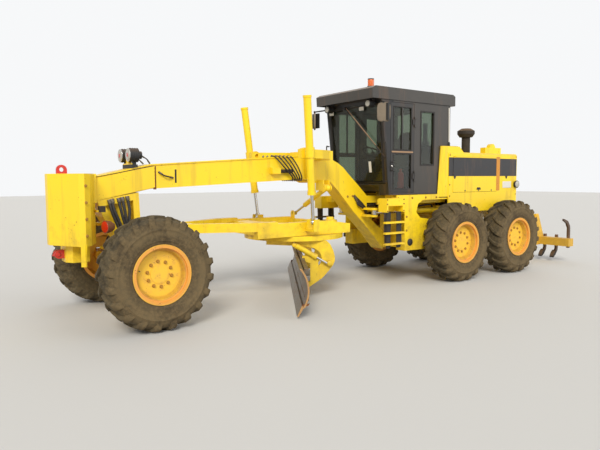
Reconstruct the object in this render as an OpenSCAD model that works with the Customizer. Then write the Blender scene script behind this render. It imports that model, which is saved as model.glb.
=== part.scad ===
// Motor grader: two frames hinged under the cab, six wheels, blade under the front frame, ripper behind.
// Millimetres, +X forward, +Y left, +Z up, standing on z = 0, origin under the middle of its length.
// Inside the modules x is counted from the front axle.

/* [Wheels] */
// Overall diameter of a tyre
tyre_d = 1350; // [1250:5:1380]
// Width of a tyre
tyre_w = 440; // [380:5:445]
// Diameter of the rim over its flanges
rim_d = 700; // [620:5:740]
// Width of the rim over its flanges
rim_w = 392; // [340:2:396]
// Height of a tread lug
lug_h = 34; // [20:1:45]
// Width of a tread lug
lug_w = 62; // [40:1:80]
// Tread lugs on each side of a tyre
lug_count = 18; // [12:1:22]
// Depth of the wheel disc below the outer flange
dish = 118; // [90:1:150]
// Distance between the wheel centres of an axle
track = 2060; // [2000:5:2200]
// Front axle to the middle of the tandem
wheelbase = 6200; // [6100:5:6300]
// Distance between the middle and the rear wheels
tandem_gap = 1550; // [1500:5:1650]

/* [Front frame] */
// Width of the main beam
beam_w = 300; // [240:2:320]
// Pivot of the two frames behind the front axle
hinge_back = 4660; // [4650:5:4700]
// Radius of the frame hinge pins
hinge_pin_r = 45; // [35:1:55]
// Radius of the hinge lugs
hinge_lug_r = 125; // [100:1:130]
// Reach of the nose plate in front of the front axle
nose_reach = 950; // [880:5:1100]
// Half width of the nose plate
nose_half = 500; // [400:5:520]

/* [Front axle] */
// Height of the lean pins
lean_z = 615; // [580:5:640]
// Kingpin distance from the middle
kingpin_y = 815; // [800:1:820]
// Lean pin distance from the middle
lean_y = 700; // [680:1:705]
// Radius of the steering rod
steer_rod_r = 20; // [16:1:24]
// Distance of the steering rod behind the axle
steer_back = 150; // [140:1:160]

/* [Blade] */
// Length of the blade
blade_l = 3960; // [3400:10:4000]
// Height of the blade
blade_h = 610; // [560:5:620]
// Height of the cutting edge above the ground
blade_lift = 35; // [20:1:60]
// Angle of the blade to the axle
blade_yaw = 33; // [20:1:40]
// Circle centre behind the front axle
circle_back = 2700; // [2650:5:2750]
// Outer radius of the circle
circle_r = 780; // [740:5:800]
// Height of the circle's top
circle_top = 925; // [905:1:930]

/* [Cab] */
// Half width of the cab
cab_half = 700; // [660:5:705]
// Height of the underside of the cab
cab_z = 1495; // [1490:1:1505]
// Height of the cab's side walls
cab_h = 1535; // [1480:5:1580]
// Height of the roof
roof_h = 195; // [150:5:220]
// Width of the cab posts
post_w = 60; // [50:1:70]
// Thickness of the glass
glass_t = 8; // [5:1:10]

/* [Hood] */
// Half width of the hood
hood_half = 770; // [750:5:775]
// Height of the hood's top
hood_top = 2225; // [2150:5:2260]
// Thickness of the hood's plates
hood_t = 20; // [15:1:25]

/* [Ripper] */
// Length of the ripper beam
ripper_l = 2340; // [2000:10:2400]
// Height of the ripper beam's middle
ripper_z = 425; // [400:5:450]
// Number of ripper teeth
tooth_count = 9; // [5:2:11]

/* [Hidden] */
$fn = 48;

running = 0.08;
gap = 6;
touch = 0.3;

yellow = "gold";
dark = "dimgray";
steel = "silver";
rust = "sienna";

tandem_x = -wheelbase;
middle_x = tandem_x + tandem_gap / 2;
rear_x = tandem_x - tandem_gap / 2;
wheel_z = tyre_d / 2;
wheel_y = track / 2;
hinge_x = -hinge_back;
circle_x = -circle_back;

// Rear unit
hood_rear_x = rear_x - 555;
hood_front_x = hinge_x - 840;
cab_rear = hinge_x - 940;
ripper_pin_x = hood_rear_x - 120;
ripper_link = 1060;
ripper_beam_x = ripper_pin_x - ripper_link - 190;
ripper_lower_z = ripper_z - 45;
ripper_upper_z = ripper_lower_z + 560;
ripper_y = 450;
rear_reach = -ripper_beam_x + 175;
front_axle_x = (rear_reach - nose_reach) / 2;

// Places of the frame hinge, bottom and top of each lug
upper_lug = [1350, 1470];
lower_lug = [600, 760];
fork_t = 45;

// Frame cylinders, from the rear unit to the front frame
frame_base = [hinge_x - 890, 480, 1200];
frame_eye = [hinge_x + 610, 420, 1200];

// Lift cylinders
lift_pin = [-2410, 820, 2140];
lift_eye = [-2510, 762, 1130];
lift_top = [-2260, 893, 2930];

// Drawbar ball, and the blade's own frame
ball = [-420, 0, 1100];
tip_pin = [-290, 0, blade_lift + 295];

// Side shift cylinder of the drawbar
shift_pin = [-3080, 360, 1620];
shift_eye = [-3080, -500, 1190];

// Ripper cylinder
ripper_cyl_base = [hood_rear_x - 110, 0, 1130];
ripper_cyl_eye = [ripper_pin_x - 700, 0, ripper_lower_z + 86];

module place() {
  translate([front_axle_x, 0, 0]) children();
}

module both_sides() {
  children();
  mirror([0, 1, 0]) children();
}

// A plate in the XZ plane between two values of y
module side_plate(points, y0, y1) {
  translate([0, y1, 0]) rotate([90, 0, 0]) linear_extrude(y1 - y0) polygon(points);
}

// A plate in the YZ plane between two values of x
module cross_plate(points, x0, x1) {
  translate([x0, 0, 0]) rotate([90, 0, 90]) linear_extrude(x1 - x0) polygon(points);
}

module box(x0, x1, y0, y1, z0, z1) {
  translate([x0, y0, z0]) cube([x1 - x0, y1 - y0, z1 - z0]);
}

// A round bar from a to b
module rod(a, b, r) {
  v = b - a;
  translate(a) rotate([0, acos(v[2] / norm(v)), atan2(v[1], v[0])]) cylinder(r = r, h = norm(v));
}

module rod_y(p, y0, y1, r) {
  translate([p[0], y0, p[2]]) rotate([-90, 0, 0]) cylinder(r = r, h = y1 - y0);
}

module rod_x(p, x0, x1, r) {
  translate([x0, p[1], p[2]]) rotate([0, 90, 0]) cylinder(r = r, h = x1 - x0);
}

module rod_z(p, z0, z1, r) {
  translate([p[0], p[1], z0]) cylinder(r = r, h = z1 - z0);
}

// Wheels
module tyre_body() {
  r = tyre_d / 2;
  w = tyre_w / 2;
  bead = rim_d / 2 - 18;
  rotate([90, 0, 0]) rotate_extrude($fn = 96) polygon([
    [bead, -w + 44], [bead + 24, -w + 42], [bead + 90, -w + 10], [r - 160, -w], [r - 75, -w + 10],
    [r - lug_h, -w + 55], [r - lug_h, w - 55], [r - 75, w - 10], [r - 160, w], [bead + 90, w - 10],
    [bead + 24, w - 42], [bead, w - 44], [bead, w - 56], [bead + 60, w - 60], [r - 110, w - 60],
    [r - 110, -w + 60], [bead + 60, -w + 60], [bead, -w + 56]]);
}

// Angled lugs, each side half a pitch from the other
module tyre_lugs(side) {
  r = tyre_d / 2;
  l = tyre_w / 2;
  pitch = 360 / lug_count;
  for (k = [0 : lug_count - 1], s = [-1, 1])
    rotate([0, k * pitch + (s > 0 ? 0 : pitch / 2), 0])
      translate([0, s * l / 2, r - lug_h - 14])
        rotate([0, 0, side * s * 28])
          translate([-lug_w / 2, -l / 2 + 14, 0]) cube([lug_w, l - 20, lug_h + 14 - 6]);
}

module tyre_at(x, s) {
  color("darkslategray") place() translate([x, s * wheel_y, wheel_z]) {
    tyre_body();
    tyre_lugs(1);
  }
}

module rim_at(x, s, hub_r, bore_r) {
  f = rim_w / 2;
  r = rim_d / 2;
  seat = r - 18 - touch;
  color("orange") place() translate([x, s * wheel_y, wheel_z]) rotate([s > 0 ? -90 : 90, 0, 0])
    difference() {
      union() {
        rotate_extrude($fn = 96) polygon([
          [r, -f], [r, -f + 12], [seat, -f + 16], [seat, f - 16], [r, f - 12], [r, f],
          [seat - 20, f], [seat - 20, f - 34], [seat - 44, f - 46], [seat - 58, f - dish + 14],
          [bore_r + 10, f - dish + 14], [bore_r + 10, f - dish - 10], [seat - 58, f - dish - 10],
          [seat - 22, f - dish - 40], [seat - 22, -f]]);
        translate([0, 0, f - dish - 150]) cylinder(r = hub_r, h = 150 + 14 + hub_cap);
      }
      translate([0, 0, f - dish - 151]) cylinder(r = bore_r + running, h = 151);
    }
}

front_bore = 42;
rear_bore = 60;
spindle_end = wheel_y + rim_w / 2 - dish - 4;
hub_cap = 8;
hub_in = wheel_y + rim_w / 2 - dish - 150;

// Rear unit
frame_box_x = hinge_x - 1100;
frame_box_low = 960;
rail_z = 1200;
engine_half = 330;

module rear_frame() {
  r = hinge_lug_r;
  color(yellow) place() {
    // Hinge forks with their pins
    for (lug = [upper_lug, lower_lug]) {
      for (z = [lug[0] - 5 - fork_t, lug[1] + 5]) {
        rod_z([hinge_x, 0], z, z + fork_t, r);
        box(hinge_x - 170, hinge_x, -r, r, z, z + fork_t);
      }
      rod_z([hinge_x, 0], lug[0] - 5 - fork_t - 15, lug[1] + 5 + fork_t + 15, hinge_pin_r);
    }
    // Hinge column and the box behind it
    difference() {
      box(hinge_x - 360, hinge_x - 150, -230, 230, lower_lug[0] - 60, upper_lug[1] + 5 + fork_t);
      box(hinge_x - 361, hinge_x - 260, -190, 190, lower_lug[0] - 20, 930);
    }
    box(frame_box_x, hinge_x - 300, -250, 250, frame_box_low, 1420);
    // Rails to the rear
    both_sides() {
      box(hood_rear_x + hood_t + 1, hinge_x - 1050, 250, engine_half + 20, 980, rail_z);
      // Lugs of the frame cylinders
      for (z = [-75, 40]) difference() {
        union() {
          box(frame_base[0] - 50, frame_base[0] + 50, 240, frame_base[1], 1200 + z, 1200 + z + 35);
          rod_z(frame_base, 1200 + z, 1200 + z + 35, 60);
        }
        rod_z(frame_base, 1200 + z - 1, 1200 + z + 36, 25);
      }
      // Cab supports
      box(-4360, -4240, toe_half + 5, 640, 1420, cab_z);
      box(-5410, -5290, 240, 640, 1415, cab_z);
      box(-5560, -4240, 560, 640, 1340, 1425);
      // Hanging side plate with a window for the frame cylinder, and the box under it
      side_plate_left();
    }
    // Rear cross beam with the ripper bracket
    box(hood_rear_x - 40, hood_rear_x + 60, -560, 560, 960, 1160 - touch);
    both_sides() ripper_bracket();
    ripper_cyl_lug();
  }
}

module side_plate_left() {
  side_plate([
    [-4240, cab_z - 5], [-4240, 1330], [-4430, 1200], [-4430, 820], [-4980, 820], [-5090, 900],
    [-5090, 1060], [-4800, 1100], [-4700, 1200], [-4740, 1330], [-4860, 1400], [-5262, 1400],
    [-5262, cab_z - 5]], 735, 757);
  box(-4980, -4430, 560, 757, 560, 830);
  box(-5560, -4240, 620, 740, 1400, 1425);
}

module ripper_bracket() {
  side_plate([
    [hood_rear_x - 30, 1215], [ripper_pin_x - 60, ripper_upper_z + 60],
    [ripper_pin_x - 60, ripper_lower_z - 60], [ripper_pin_x + 60, ripper_lower_z - 60],
    [hood_rear_x + 60, 960]], ripper_y + 40, ripper_y + 70);
  side_plate([
    [hood_rear_x - 30, 1215], [ripper_pin_x - 60, ripper_upper_z + 60],
    [ripper_pin_x - 60, ripper_lower_z - 60], [ripper_pin_x + 60, ripper_lower_z - 60],
    [hood_rear_x + 60, 960]], ripper_y - 70, ripper_y - 40);
  for (z = [ripper_lower_z, ripper_upper_z])
    rod_y([ripper_pin_x, 0, z], ripper_y - 75, ripper_y + 75, 25);
}

module ripper_cyl_lug() {
  for (s = [-1, 1]) difference() {
    union() {
      box(ripper_cyl_base[0], hood_rear_x - 30, s * 52 - 12, s * 52 + 12, 1070, 1190);
      rod_y(ripper_cyl_base, s * 52 - 12, s * 52 + 12, 60);
    }
    rod_y(ripper_cyl_base, s * 52 - 13, s * 52 + 13, 22 + running);
  }
}

module rear_axle() {
  color(yellow) place() {
    rod_y([tandem_x, 0, 700], -590, 590, 165);
    translate([tandem_x, 0, 700]) sphere(r = 285, $fn = 64);
    // Saddles under the rails
    both_sides() box(tandem_x - 150, tandem_x + 150, 260, 340, 780, 980 - touch);
    both_sides() tandem_case();
  }
}

module tandem_case() {
  r = 205;
  y0 = 580;
  y1 = wheel_y - tyre_w / 2 - 17;
  z = wheel_z;
  for (x = [middle_x, rear_x]) {
    rod_y([x, 0, z], y0, y1, r);
    rod_y([x, 0, z], y1 - 5, hub_in - gap, 95);
    rod_y([x, 0, z], hub_in - gap - 1, spindle_end, rear_bore);
  }
  side_plate([
    [middle_x, z + r], [tandem_x + 280, z + r + 60], [tandem_x - 280, z + r + 60], [rear_x, z + r],
    [rear_x, z - r], [middle_x, z - r]], y0, y1);
}

module engine_block() {
  color(dark) place() box(hood_rear_x + 680, frame_box_x - touch, -engine_half, engine_half,
    rail_z + touch, 1960);
}

module hood() {
  t = hood_t;
  h = hood_half;
  color(yellow) place() {
    difference() {
      union() {
        cross_plate([
          [-h, 1160], [-h, hood_top - 30], [-h + 30, hood_top], [h - 30, hood_top],
          [h, hood_top - 30], [h, 1160]], hood_rear_x, hood_front_x);
        // Raised cowl with its chamfered flanks beside the cab
        cowl();
      }
      // Hollow inside, open below and around the cab
      box(hood_rear_x + t, hood_front_x + 20, -h + t, h - t, 1150, hood_top - t);
      box(cab_rear - 12, -5200, -cab_half - 12, cab_half + 12, 1430, 2400);
      // Doorways at both sides
      for (s = [-1, 1])
        box(door_x[0], door_x[1], s * h - 30, s * h + 30, door_z[0], door_z[1]);
      // Radiator opening at the rear
      box(hood_rear_x - 1, hood_rear_x + t + 1, -h + 110, h - 110, 1330, 2080);
    }
    // Grille bars at the rear
    for (i = [0 : 12])
      box(hood_rear_x + 2, hood_rear_x + 14, -h + 105, h - 105, 1355 + i * 56, 1375 + i * 56);
    for (y = [-330, 0, 330]) box(hood_rear_x + 2, hood_rear_x + 16, y - 12, y + 12, 1325, 2085);
    // Box with a hump on top
    box(hood_rear_x + 350, hood_rear_x + 840, 535, 645, hood_top - 1, hood_top + 115);
    rod_y([hood_rear_x + 590, 0, hood_top + 105], 550, 630, 85);
    // Cross member that carries the hood on the rails
    both_sides() for (x = [hood_rear_x + 530, hood_front_x - 400])
      box(x, x + 80, engine_half + touch, h - t + 1, rail_z + touch, rail_z + 40);
  }
}

door_x = [hood_rear_x + 630, cab_rear - 14];
door_z = [1510, 2150];
latch_x = hood_rear_x + 1190;

module cowl() {
  difference() {
    side_plate([
      [-5270, 1440], [-5335, 2325], [-5800, 2325], [-5920, hood_top - 10], [-5920, 1440]],
      -hood_half + 10, hood_half - 10);
    // Inside of the cowl, with room for the cab's rear corner
    box(-5660, -5200, -cab_half - 12, cab_half + 12, 1430, 2400);
    box(-5900, -5600, -cab_half + 40, cab_half - 40, 1430, 2300);
    // Chamfer of the flanks
    for (s = [-1, 1]) translate([-5270, s * 712, 1400])
      rotate([0, 0, s * -19]) translate([-400, s > 0 ? 0 : -300, 0]) cube([800, 300, 1000]);
  }
}

module hood_door(s) {
  h = hood_half;
  color(yellow) place() {
    y0 = s > 0 ? h - 14 : -h - 4;
    difference() {
      box(door_x[0] + gap, door_x[1] - gap, y0, y0 + 18, door_z[0] + gap, door_z[1] - gap);
      box(latch_x - 50, latch_x + 50, s * (h + 4) - 8, s * (h + 4) + 8, 1560, 1585);
    }
    // Hinge barrel along the top edge
    rod_x([0, s * (h + 8), door_z[1] + 4], door_x[0] + 60, door_x[1] - 60, 7.5);
    box(door_x[0] + 60, door_x[1] - 60, s > 0 ? h - 4 : -h - 14, s > 0 ? h + 14 : -h + 4,
      door_z[1] - 16, door_z[1] - 2);
  }
}

module stacks() {
  color(dark) place() {
    // Air pre-cleaner
    translate([hood_rear_x + 910, 250, 0]) {
      rod_z([0, 0], hood_top + touch, 2550, 80);
      translate([0, 0, 2550]) cylinder(r1 = 120, r2 = 163, h = 60);
      translate([0, 0, 2610]) cylinder(r = 163, h = 60);
      translate([0, 0, 2670]) cylinder(r1 = 163, r2 = 90, h = 45);
    }
    // Exhaust stack
    translate([hood_rear_x + 1450, -300, 0]) {
      rod_z([0, 0], hood_top + touch, 2480, 75);
      rod_z([0, 0], 2479, 2830, 42);
    }
  }
}

// Steps: rubber straps carry the rungs
ladder_x = [-4190, -3880];
ladder_top = 1230;

module ladders() {
  color("black") place() both_sides()
    for (x = ladder_x) side_plate([
      [x - 32, ladder_top], [x + 32, ladder_top], [x + 10, 690], [x - 54, 690]], 850, 866);
  color(yellow) place() both_sides() {
    // Step housing under the door sill
    difference() {
      box(-4235, -3840, 740, 930, ladder_top, 1450);
      box(-4200, -3875, 760, 931, ladder_top - 1, 1330);
    }
    box(-4240 + touch, -3990, 560, 745, 1340, 1425);
    for (z = [705, 880, 1050])
      box(ladder_x[0] - 60, ladder_x[1] + 60, 865, 930, z, z + 26);
  }
}

// Cab
cab_front_bottom = -4110;
cab_front_top = -3930;
cab_top = cab_z + cab_h;
door_front = -4135;
door_rear = -4690;
door_hinge_z = [cab_z + 250, cab_z + 1150];

// Sloping toe board, clear of the front frame as it turns
toe_half = 480;
toe = [[-4300, 1540], [-4085, 1660]];
screen_z = cab_z + 180;

module cab_shell() {
  t = post_w;
  h = cab_half;
  color(dark) place() difference() {
    union() {
      difference() {
        side_plate([
          [cab_front_bottom, cab_z], [cab_front_top, cab_top], [cab_rear, cab_top], [cab_rear, cab_z]],
          -h, h);
        // Room inside
        side_plate([
          [cab_front_bottom - t, cab_z + 75], [cab_front_top - t, cab_top - 50],
          [cab_rear + t, cab_top - 50], [cab_rear + t, cab_z + 75]], -h + t, h - t);
        // Windscreen opening
        side_plate([
          [cab_front_bottom + 60, screen_z], [cab_front_top + 60, cab_top - 50],
          [cab_front_top - 120, cab_top - 50], [cab_front_bottom - 120, screen_z]], -h + t, h - t);
        // Rear window opening
        box(cab_rear - 10, cab_rear + t + 10, -h + 130, h - 130, 2360, cab_top - 60);
        for (s = [-1, 1]) {
          // Doorway
          box(door_rear, door_front, s * h - 70, s * h + 70, cab_z + 30, cab_top - 30);
          // Quarter window
          box(-5180, -4850, s * h - 70, s * h + 70, 1990, 2890);
        }
      }
      side_plate([
        toe[0], toe[1], toe[1] + [0, 14], toe[0] + [-20, 40]], -toe_half - 20, toe_half + 20);
      // Fixed halves of the door hinges
      both_sides() for (z = door_hinge_z, o = [-30 - touch, 110 + touch]) {
        rod_z([door_rear, h + 12], z + o, z + o + 30, 10);
        box(door_rear - 45, door_rear, h - 1, h + 14, z + o, z + o + 30);
      }
    }
    side_plate([
      toe[0], toe[1], [-3990, toe[1][1]], [-3990, cab_z - 10], [hinge_x - 380, cab_z - 10],
      [hinge_x - 380, toe[0][1]]], -toe_half, toe_half);
  }
}

module cab_roof() {
  h = cab_half + 18;
  color(dark) place() difference() {
    side_plate([
      [-3725, cab_top + touch], [-3715, cab_top + roof_h - 40], [-3790, cab_top + roof_h],
      [-5650, cab_top + roof_h], [-5710, cab_top + roof_h - 30], [-5710, cab_top + touch]], -h, h);
    // Hollow under the front overhang
    box(-3920, -3745, -h + 40, h - 40, cab_top - 1, cab_top + 100);
  }
}

module cab_glass() {
  h = cab_half;
  t = post_w;
  color("lightblue") place() {
    translate([0, h - t - 2, 0]) rotate([90, 0, 0]) linear_extrude(2 * h - 2 * t - 4) polygon([
      [cab_front_bottom - 5, screen_z + touch], [cab_front_top - 25, cab_top - 50 - touch],
      [cab_front_top - 25 - glass_t, cab_top - 50 - touch],
      [cab_front_bottom - 5 - glass_t, screen_z + touch]]);
    box(cab_rear + 20, cab_rear + 20 + glass_t, -h + 130 + touch, h - 130 - touch,
      2360 + touch, cab_top - 60 - touch);
    for (s = [-1, 1])
      box(-5180 + touch, -4850 - touch, s * (h - 30) - glass_t / 2, s * (h - 30) + glass_t / 2,
        1990 + touch, 2890 - touch);
  }
}

door_frame = 55;
door_rail = 2200;

module cab_door(s) {
  g = gap;
  f = door_frame;
  h = cab_half;
  z0 = cab_z + 30 + g;
  z1 = cab_top - 30 - g;
  color(dark) place() {
    difference() {
      box(door_rear + g, door_front - g, s > 0 ? h - 40 : -h, s > 0 ? h : -h + 40, z0, z1);
      box(door_rear + g + f, door_front - g - f, s * h - 60, s * h + 60, z0 + f, door_rail - 22);
      box(door_rear + g + f, door_front - g - f, s * h - 60, s * h + 60, door_rail + 22, z1 - f);
    }
    // Hinge knuckles outside the rear edge, and the handle
    for (z = door_hinge_z) {
      rod_z([door_rear, s * (h + 12)], z, z + 110, 10);
      box(door_rear, door_rear + 45, s > 0 ? h + 1 : -h - 14, s > 0 ? h + 14 : -h - 1, z + 10, z + 100);
      box(door_rear + g, door_rear + 45, s > 0 ? h - 2 : -h - 2, s > 0 ? h + 2 : -h + 2, z + 10, z + 100);
    }
    rod_z([door_front - 35, s * (h + 32)], 1880, 2050, 9);
    for (z = [1890, 2030])
      rod_y([door_front - 35, 0, z], s > 0 ? h - 2 : -h - 32, s > 0 ? h + 32 : -h + 2, 7);
  }
}

module door_glass(s) {
  g = gap;
  f = door_frame + touch;
  y = s * (cab_half - 20);
  color("lightblue") place()
    for (z = [[cab_z + 30 + g + f, door_rail - 22 - touch], [door_rail + 22 + touch, cab_top - 30 - g - f]])
      box(door_rear + g + f, door_front - g - f, y - glass_t / 2, y + glass_t / 2, z[0], z[1]);
}

module cab_interior() {
  z = cab_z + 75;
  color("black") place() {
    // Seat on its pedestal
    box(-5080, -4820, -150, 150, z, z + 330);
    box(-5170, -4700, -245, 245, z + 330, z + 440);
    side_plate([[-5170, z + 430], [-5090, z + 430], [-5190, z + 1010], [-5260, z + 990]], -235, 235);
    // Steering console with its wheel and the lever banks
    side_plate([[-4460, z], [-4325, z], [-4340, z + 620], [-4430, z + 600]], -90, 90);
    translate([-4420, 0, z + 640]) rotate([0, -28, 0]) {
      rotate_extrude($fn = 48) translate([190, 0]) circle(r = 16, $fn = 24);
      translate([0, 0, -110]) cylinder(r = 42, h = 125);
      for (a = [0, 120, 240]) rotate([0, 0, a]) rod_x([0, 0, 0], 30, 186, 9);
    }
    both_sides() for (i = [0 : 3])
      rod_z([-4390, 112 + i * 32], z + 565, z + 760, 8);
    both_sides() box(-4420, -4330, 60, 230, z + 540, z + 590);
  }
}

mirror_root_x = -3925.4;

// Lamps, beacon, mirrors and their brackets on the cab
module cab_fittings() {
  h = cab_half;
  color(dark) place() {
    // Beacon on the roof
    rod_z([-4070, 300], cab_top + roof_h + touch, cab_top + roof_h + 60, 62);
    rod_z([-4070, 300], cab_top + roof_h + 59, cab_top + roof_h + 185, 52);
    both_sides() {
      // Work lamps under the roof's front edge
      rod_x([0, 520, cab_top - 62], -3905, -3800, 62);
      box(-3870, -3840, 500, 540, cab_top - 10, cab_top + 100 - touch);
      // Mirror on its arm
      rod([mirror_root_x, h - 20, 2980], [-3800, 880, 2960], 12);
      translate([-3800, 880, 2960]) sphere(r = 19);
      rod_z([-3800, 880], 2640, 2950, 14);
      box(-3850, -3812, 795, 965, 2670, 2930);
    }
  }
}

// Ripper
module ripper_lower_links() {
  color(yellow) place() both_sides() link_bar(ripper_lower_z, 40);
  color(yellow) place() {
    box(ripper_pin_x - 760, ripper_pin_x - 660, -ripper_y, ripper_y,
      ripper_lower_z - 30, ripper_lower_z + 30);
    for (s = [-1, 1]) difference() {
      union() {
        box(ripper_cyl_eye[0] - 40, ripper_cyl_eye[0] + 40, s * 45 - 10, s * 45 + 10,
          ripper_lower_z, ripper_cyl_eye[2]);
        rod_y(ripper_cyl_eye, s * 45 - 10, s * 45 + 10, 45);
      }
      rod_y(ripper_cyl_eye, s * 45 - 11, s * 45 + 11, 20);
    }
  }
}

module ripper_upper_links() {
  color(yellow) place() both_sides() link_bar(ripper_upper_z, 32);
}

// A link between the bracket's pins and the beam's pins
module link_bar(z, half) {
  x0 = ripper_pin_x;
  x1 = ripper_pin_x - ripper_link;
  difference() {
    union() {
      box(x1, x0, ripper_y - 28, ripper_y + 28, z - half, z + half);
      for (x = [x0, x1]) rod_y([x, 0, z], ripper_y - 34, ripper_y + 34, 52);
    }
    for (x = [x0, x1]) rod_y([x, 0, z], ripper_y - 35, ripper_y + 35, 25 + running);
  }
}

module ripper_beam() {
  x1 = ripper_pin_x - ripper_link;
  l = ripper_l / 2;
  color(yellow) place() {
    box(ripper_beam_x - 90, ripper_beam_x + 90, -l, l, ripper_z - 80, ripper_z + 80);
    both_sides() {
      // Uprights with the rear pins of the links
      for (y = [ripper_y - 64, ripper_y + 42]) side_plate([
        [ripper_beam_x - 80, ripper_z - 80], [x1 + 55, ripper_lower_z - 55], [x1 + 55, ripper_upper_z + 60],
        [x1 - 50, ripper_upper_z + 60], [ripper_beam_x - 80, ripper_z + 80]], y, y + 22);
      for (z = [ripper_lower_z, ripper_upper_z]) rod_y([x1, 0, z], ripper_y - 70, ripper_y + 70, 25);
    }
  }
  color(rust) place() ripper_teeth(l);
}

// Curved shanks with points below the beam, one stowed with its point up
module ripper_teeth(l) {
  pitch = (ripper_l - 260) / (tooth_count - 1);
  x = ripper_beam_x - 100;
  for (i = [0 : tooth_count - 1]) {
    y = -l + 130 + i * pitch;
    if (i < tooth_count - 1) side_plate([
      [x - 60, ripper_z + 130], [x, ripper_z + 130], [x + 4, ripper_z - 160], [x + 60, 165],
      [x + 150, 105], [x + 138, 88], [x + 50, 115], [x + 10, 150], [x - 45, 215], [x - 60, ripper_z - 140]],
      y - 22, y + 22);
    else side_plate([
      [x - 60, ripper_z - 130], [x, ripper_z - 130], [x + 4, ripper_z + 290], [x + 70, ripper_z + 390],
      [x + 190, ripper_z + 455], [x + 182, ripper_z + 485], [x + 40, ripper_z + 440],
      [x - 40, ripper_z + 350], [x - 60, ripper_z + 280]], y - 22, y + 22);
    box(x - 75, x + 15, y - 50, y + 50, ripper_z - 70, ripper_z + 70);
  }
}

module ripper_barrel() {
  v = ripper_cyl_eye - ripper_cyl_base;
  color(yellow) place() cylinder_barrel(ripper_cyl_base, v, 585, 48, 26, 34, [0, 1, 0]);
  color(yellow) place() rod_y(ripper_cyl_base, -75, 75, 22);
}

module ripper_rod() {
  v = ripper_cyl_eye - ripper_cyl_base;
  color(steel) place() cylinder_rod(ripper_cyl_eye, -v, norm(v) - 430, 26 - running, 32, 29);
}

// Barrel from its base eye along v, with a rod bore; the base eye turns on the given axis
module cylinder_barrel(base, v, l, r, bore_r, eye_w, axis) {
  u = v / norm(v);
  difference() {
    union() {
      rod(base + u * 30, base + u * 90, eye_w - 3);
      rod(base + u * 78, base + u * l, r);
      rod(base + u * (l - 50), base + u * l, r + 8);
      if (axis[1] == 1) rod_y(base, base[1] - eye_w, base[1] + eye_w, r + 4);
      else rod_z(base, base[2] - eye_w, base[2] + eye_w, r + 4);
    }
    rod(base + u * 115, base + u * (l + 1), bore_r);
  }
}

// Rod from its eye back along u into the barrel
module cylinder_rod(eye, v, l, r, eye_r, eye_w) {
  u = v / norm(v);
  difference() {
    union() {
      rod(eye, eye + u * l, r);
      if (abs(v[2]) < 1) rod_z(eye, eye[2] - eye_w, eye[2] + eye_w, eye_r + 12);
      else rod_y(eye, eye[1] - eye_w, eye[1] + eye_w, eye_r + 12);
    }
    if (abs(v[2]) < 1) rod_z(eye, eye[2] - eye_w - 1, eye[2] + eye_w + 1, 18);
    else rod_y(eye, eye[1] - eye_w - 1, eye[1] + eye_w + 1, 18);
  }
}

// Front frame
beam_top = [
  [410, 1810], [-300, 1967], [-2760, 2130], [-3150, 2130], [-3300, 2100], [-3490, 2020], [-3600, 1950],
  [-3750, 1812], [-3910, 1676], [-4070, 1530], [-4130, 1470]];
beam_bottom = [
  [-4130, 1140], [-4310, 1000], [-4520, 846], [-4520, 530], [-4390, 670], [-4230, 840],
  [-4030, 1030], [-3840, 1200], [-3660, 1390], [-3490, 1570], [-3300, 1740], [-2760, 1760],
  [-300, 1645], [410, 1500]];

module front_frame() {
  w = beam_w / 2;
  r = hinge_lug_r;
  color(yellow) place() {
    side_plate(concat(beam_top, beam_bottom), -w, w);
    // Wider box section at the beam's front
    both_sides() side_plate([
      [400, 1788], [-345, 1942], [-345, 1662], [400, 1512]], w - 1, w + 12);
    // Flange strips along the beam's top edge
    both_sides() side_plate([
      [400, 1812], [-300, 1967], [-2760, 2130], [-3150, 2130], [-3150, 2114], [-2760, 2114],
      [-300, 1951], [400, 1796]], w - 1, w + 14);
    difference() {
      union() {
        for (lug = [upper_lug, lower_lug]) rod_z([hinge_x, 0], lug[0], lug[1], r);
        box(hinge_x, -4120, -r, r, upper_lug[0], upper_lug[1]);
        box(hinge_x, -4510, -r, r, lower_lug[0], lower_lug[1]);
      }
      for (lug = [upper_lug, lower_lug])
        rod_z([hinge_x, 0], lug[0] - 1, lug[1] + 1, hinge_pin_r + running);
    }
    kingpost();
    // Forks for the frame cylinders' rods
    both_sides() for (z = [-75, 40]) difference() {
      union() {
        box(frame_eye[0] - 55, frame_eye[0] + 55, w - 5, frame_eye[1], 1200 + z, 1200 + z + 35);
        rod_z(frame_eye, 1200 + z, 1200 + z + 35, 60);
      }
      rod_z(frame_eye, 1200 + z - 1, 1200 + z + 36, 18);
    }
    // Bracket of the drawbar's ball
    box(ball[0] + 75, -120, -70, 70, ball[2] - 60, ball[2] + 60);
    rod_x(ball, ball[0] + 30, ball[0] + 80, 32);
    translate(ball) sphere(r = 60, $fn = 48);
  }
}

// Drop column from the beam to the axle
module kingpost() {
  w = beam_w / 2;
  difference() {
    side_plate([
      [400, 1510], [-135, 1600], [-160, 1000], [-110, 880], [110, 880], [160, 1000], [330, 1300]], -w, w);
    // Open pocket at each side, between the plates
    for (s = [-1, 1]) side_plate([
      [300, 1440], [-60, 1500], [-70, 1080], [80, 1080], [210, 1280]],
      s > 0 ? 90 : -w - 1, s > 0 ? w + 1 : -90);
  }
}

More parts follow.
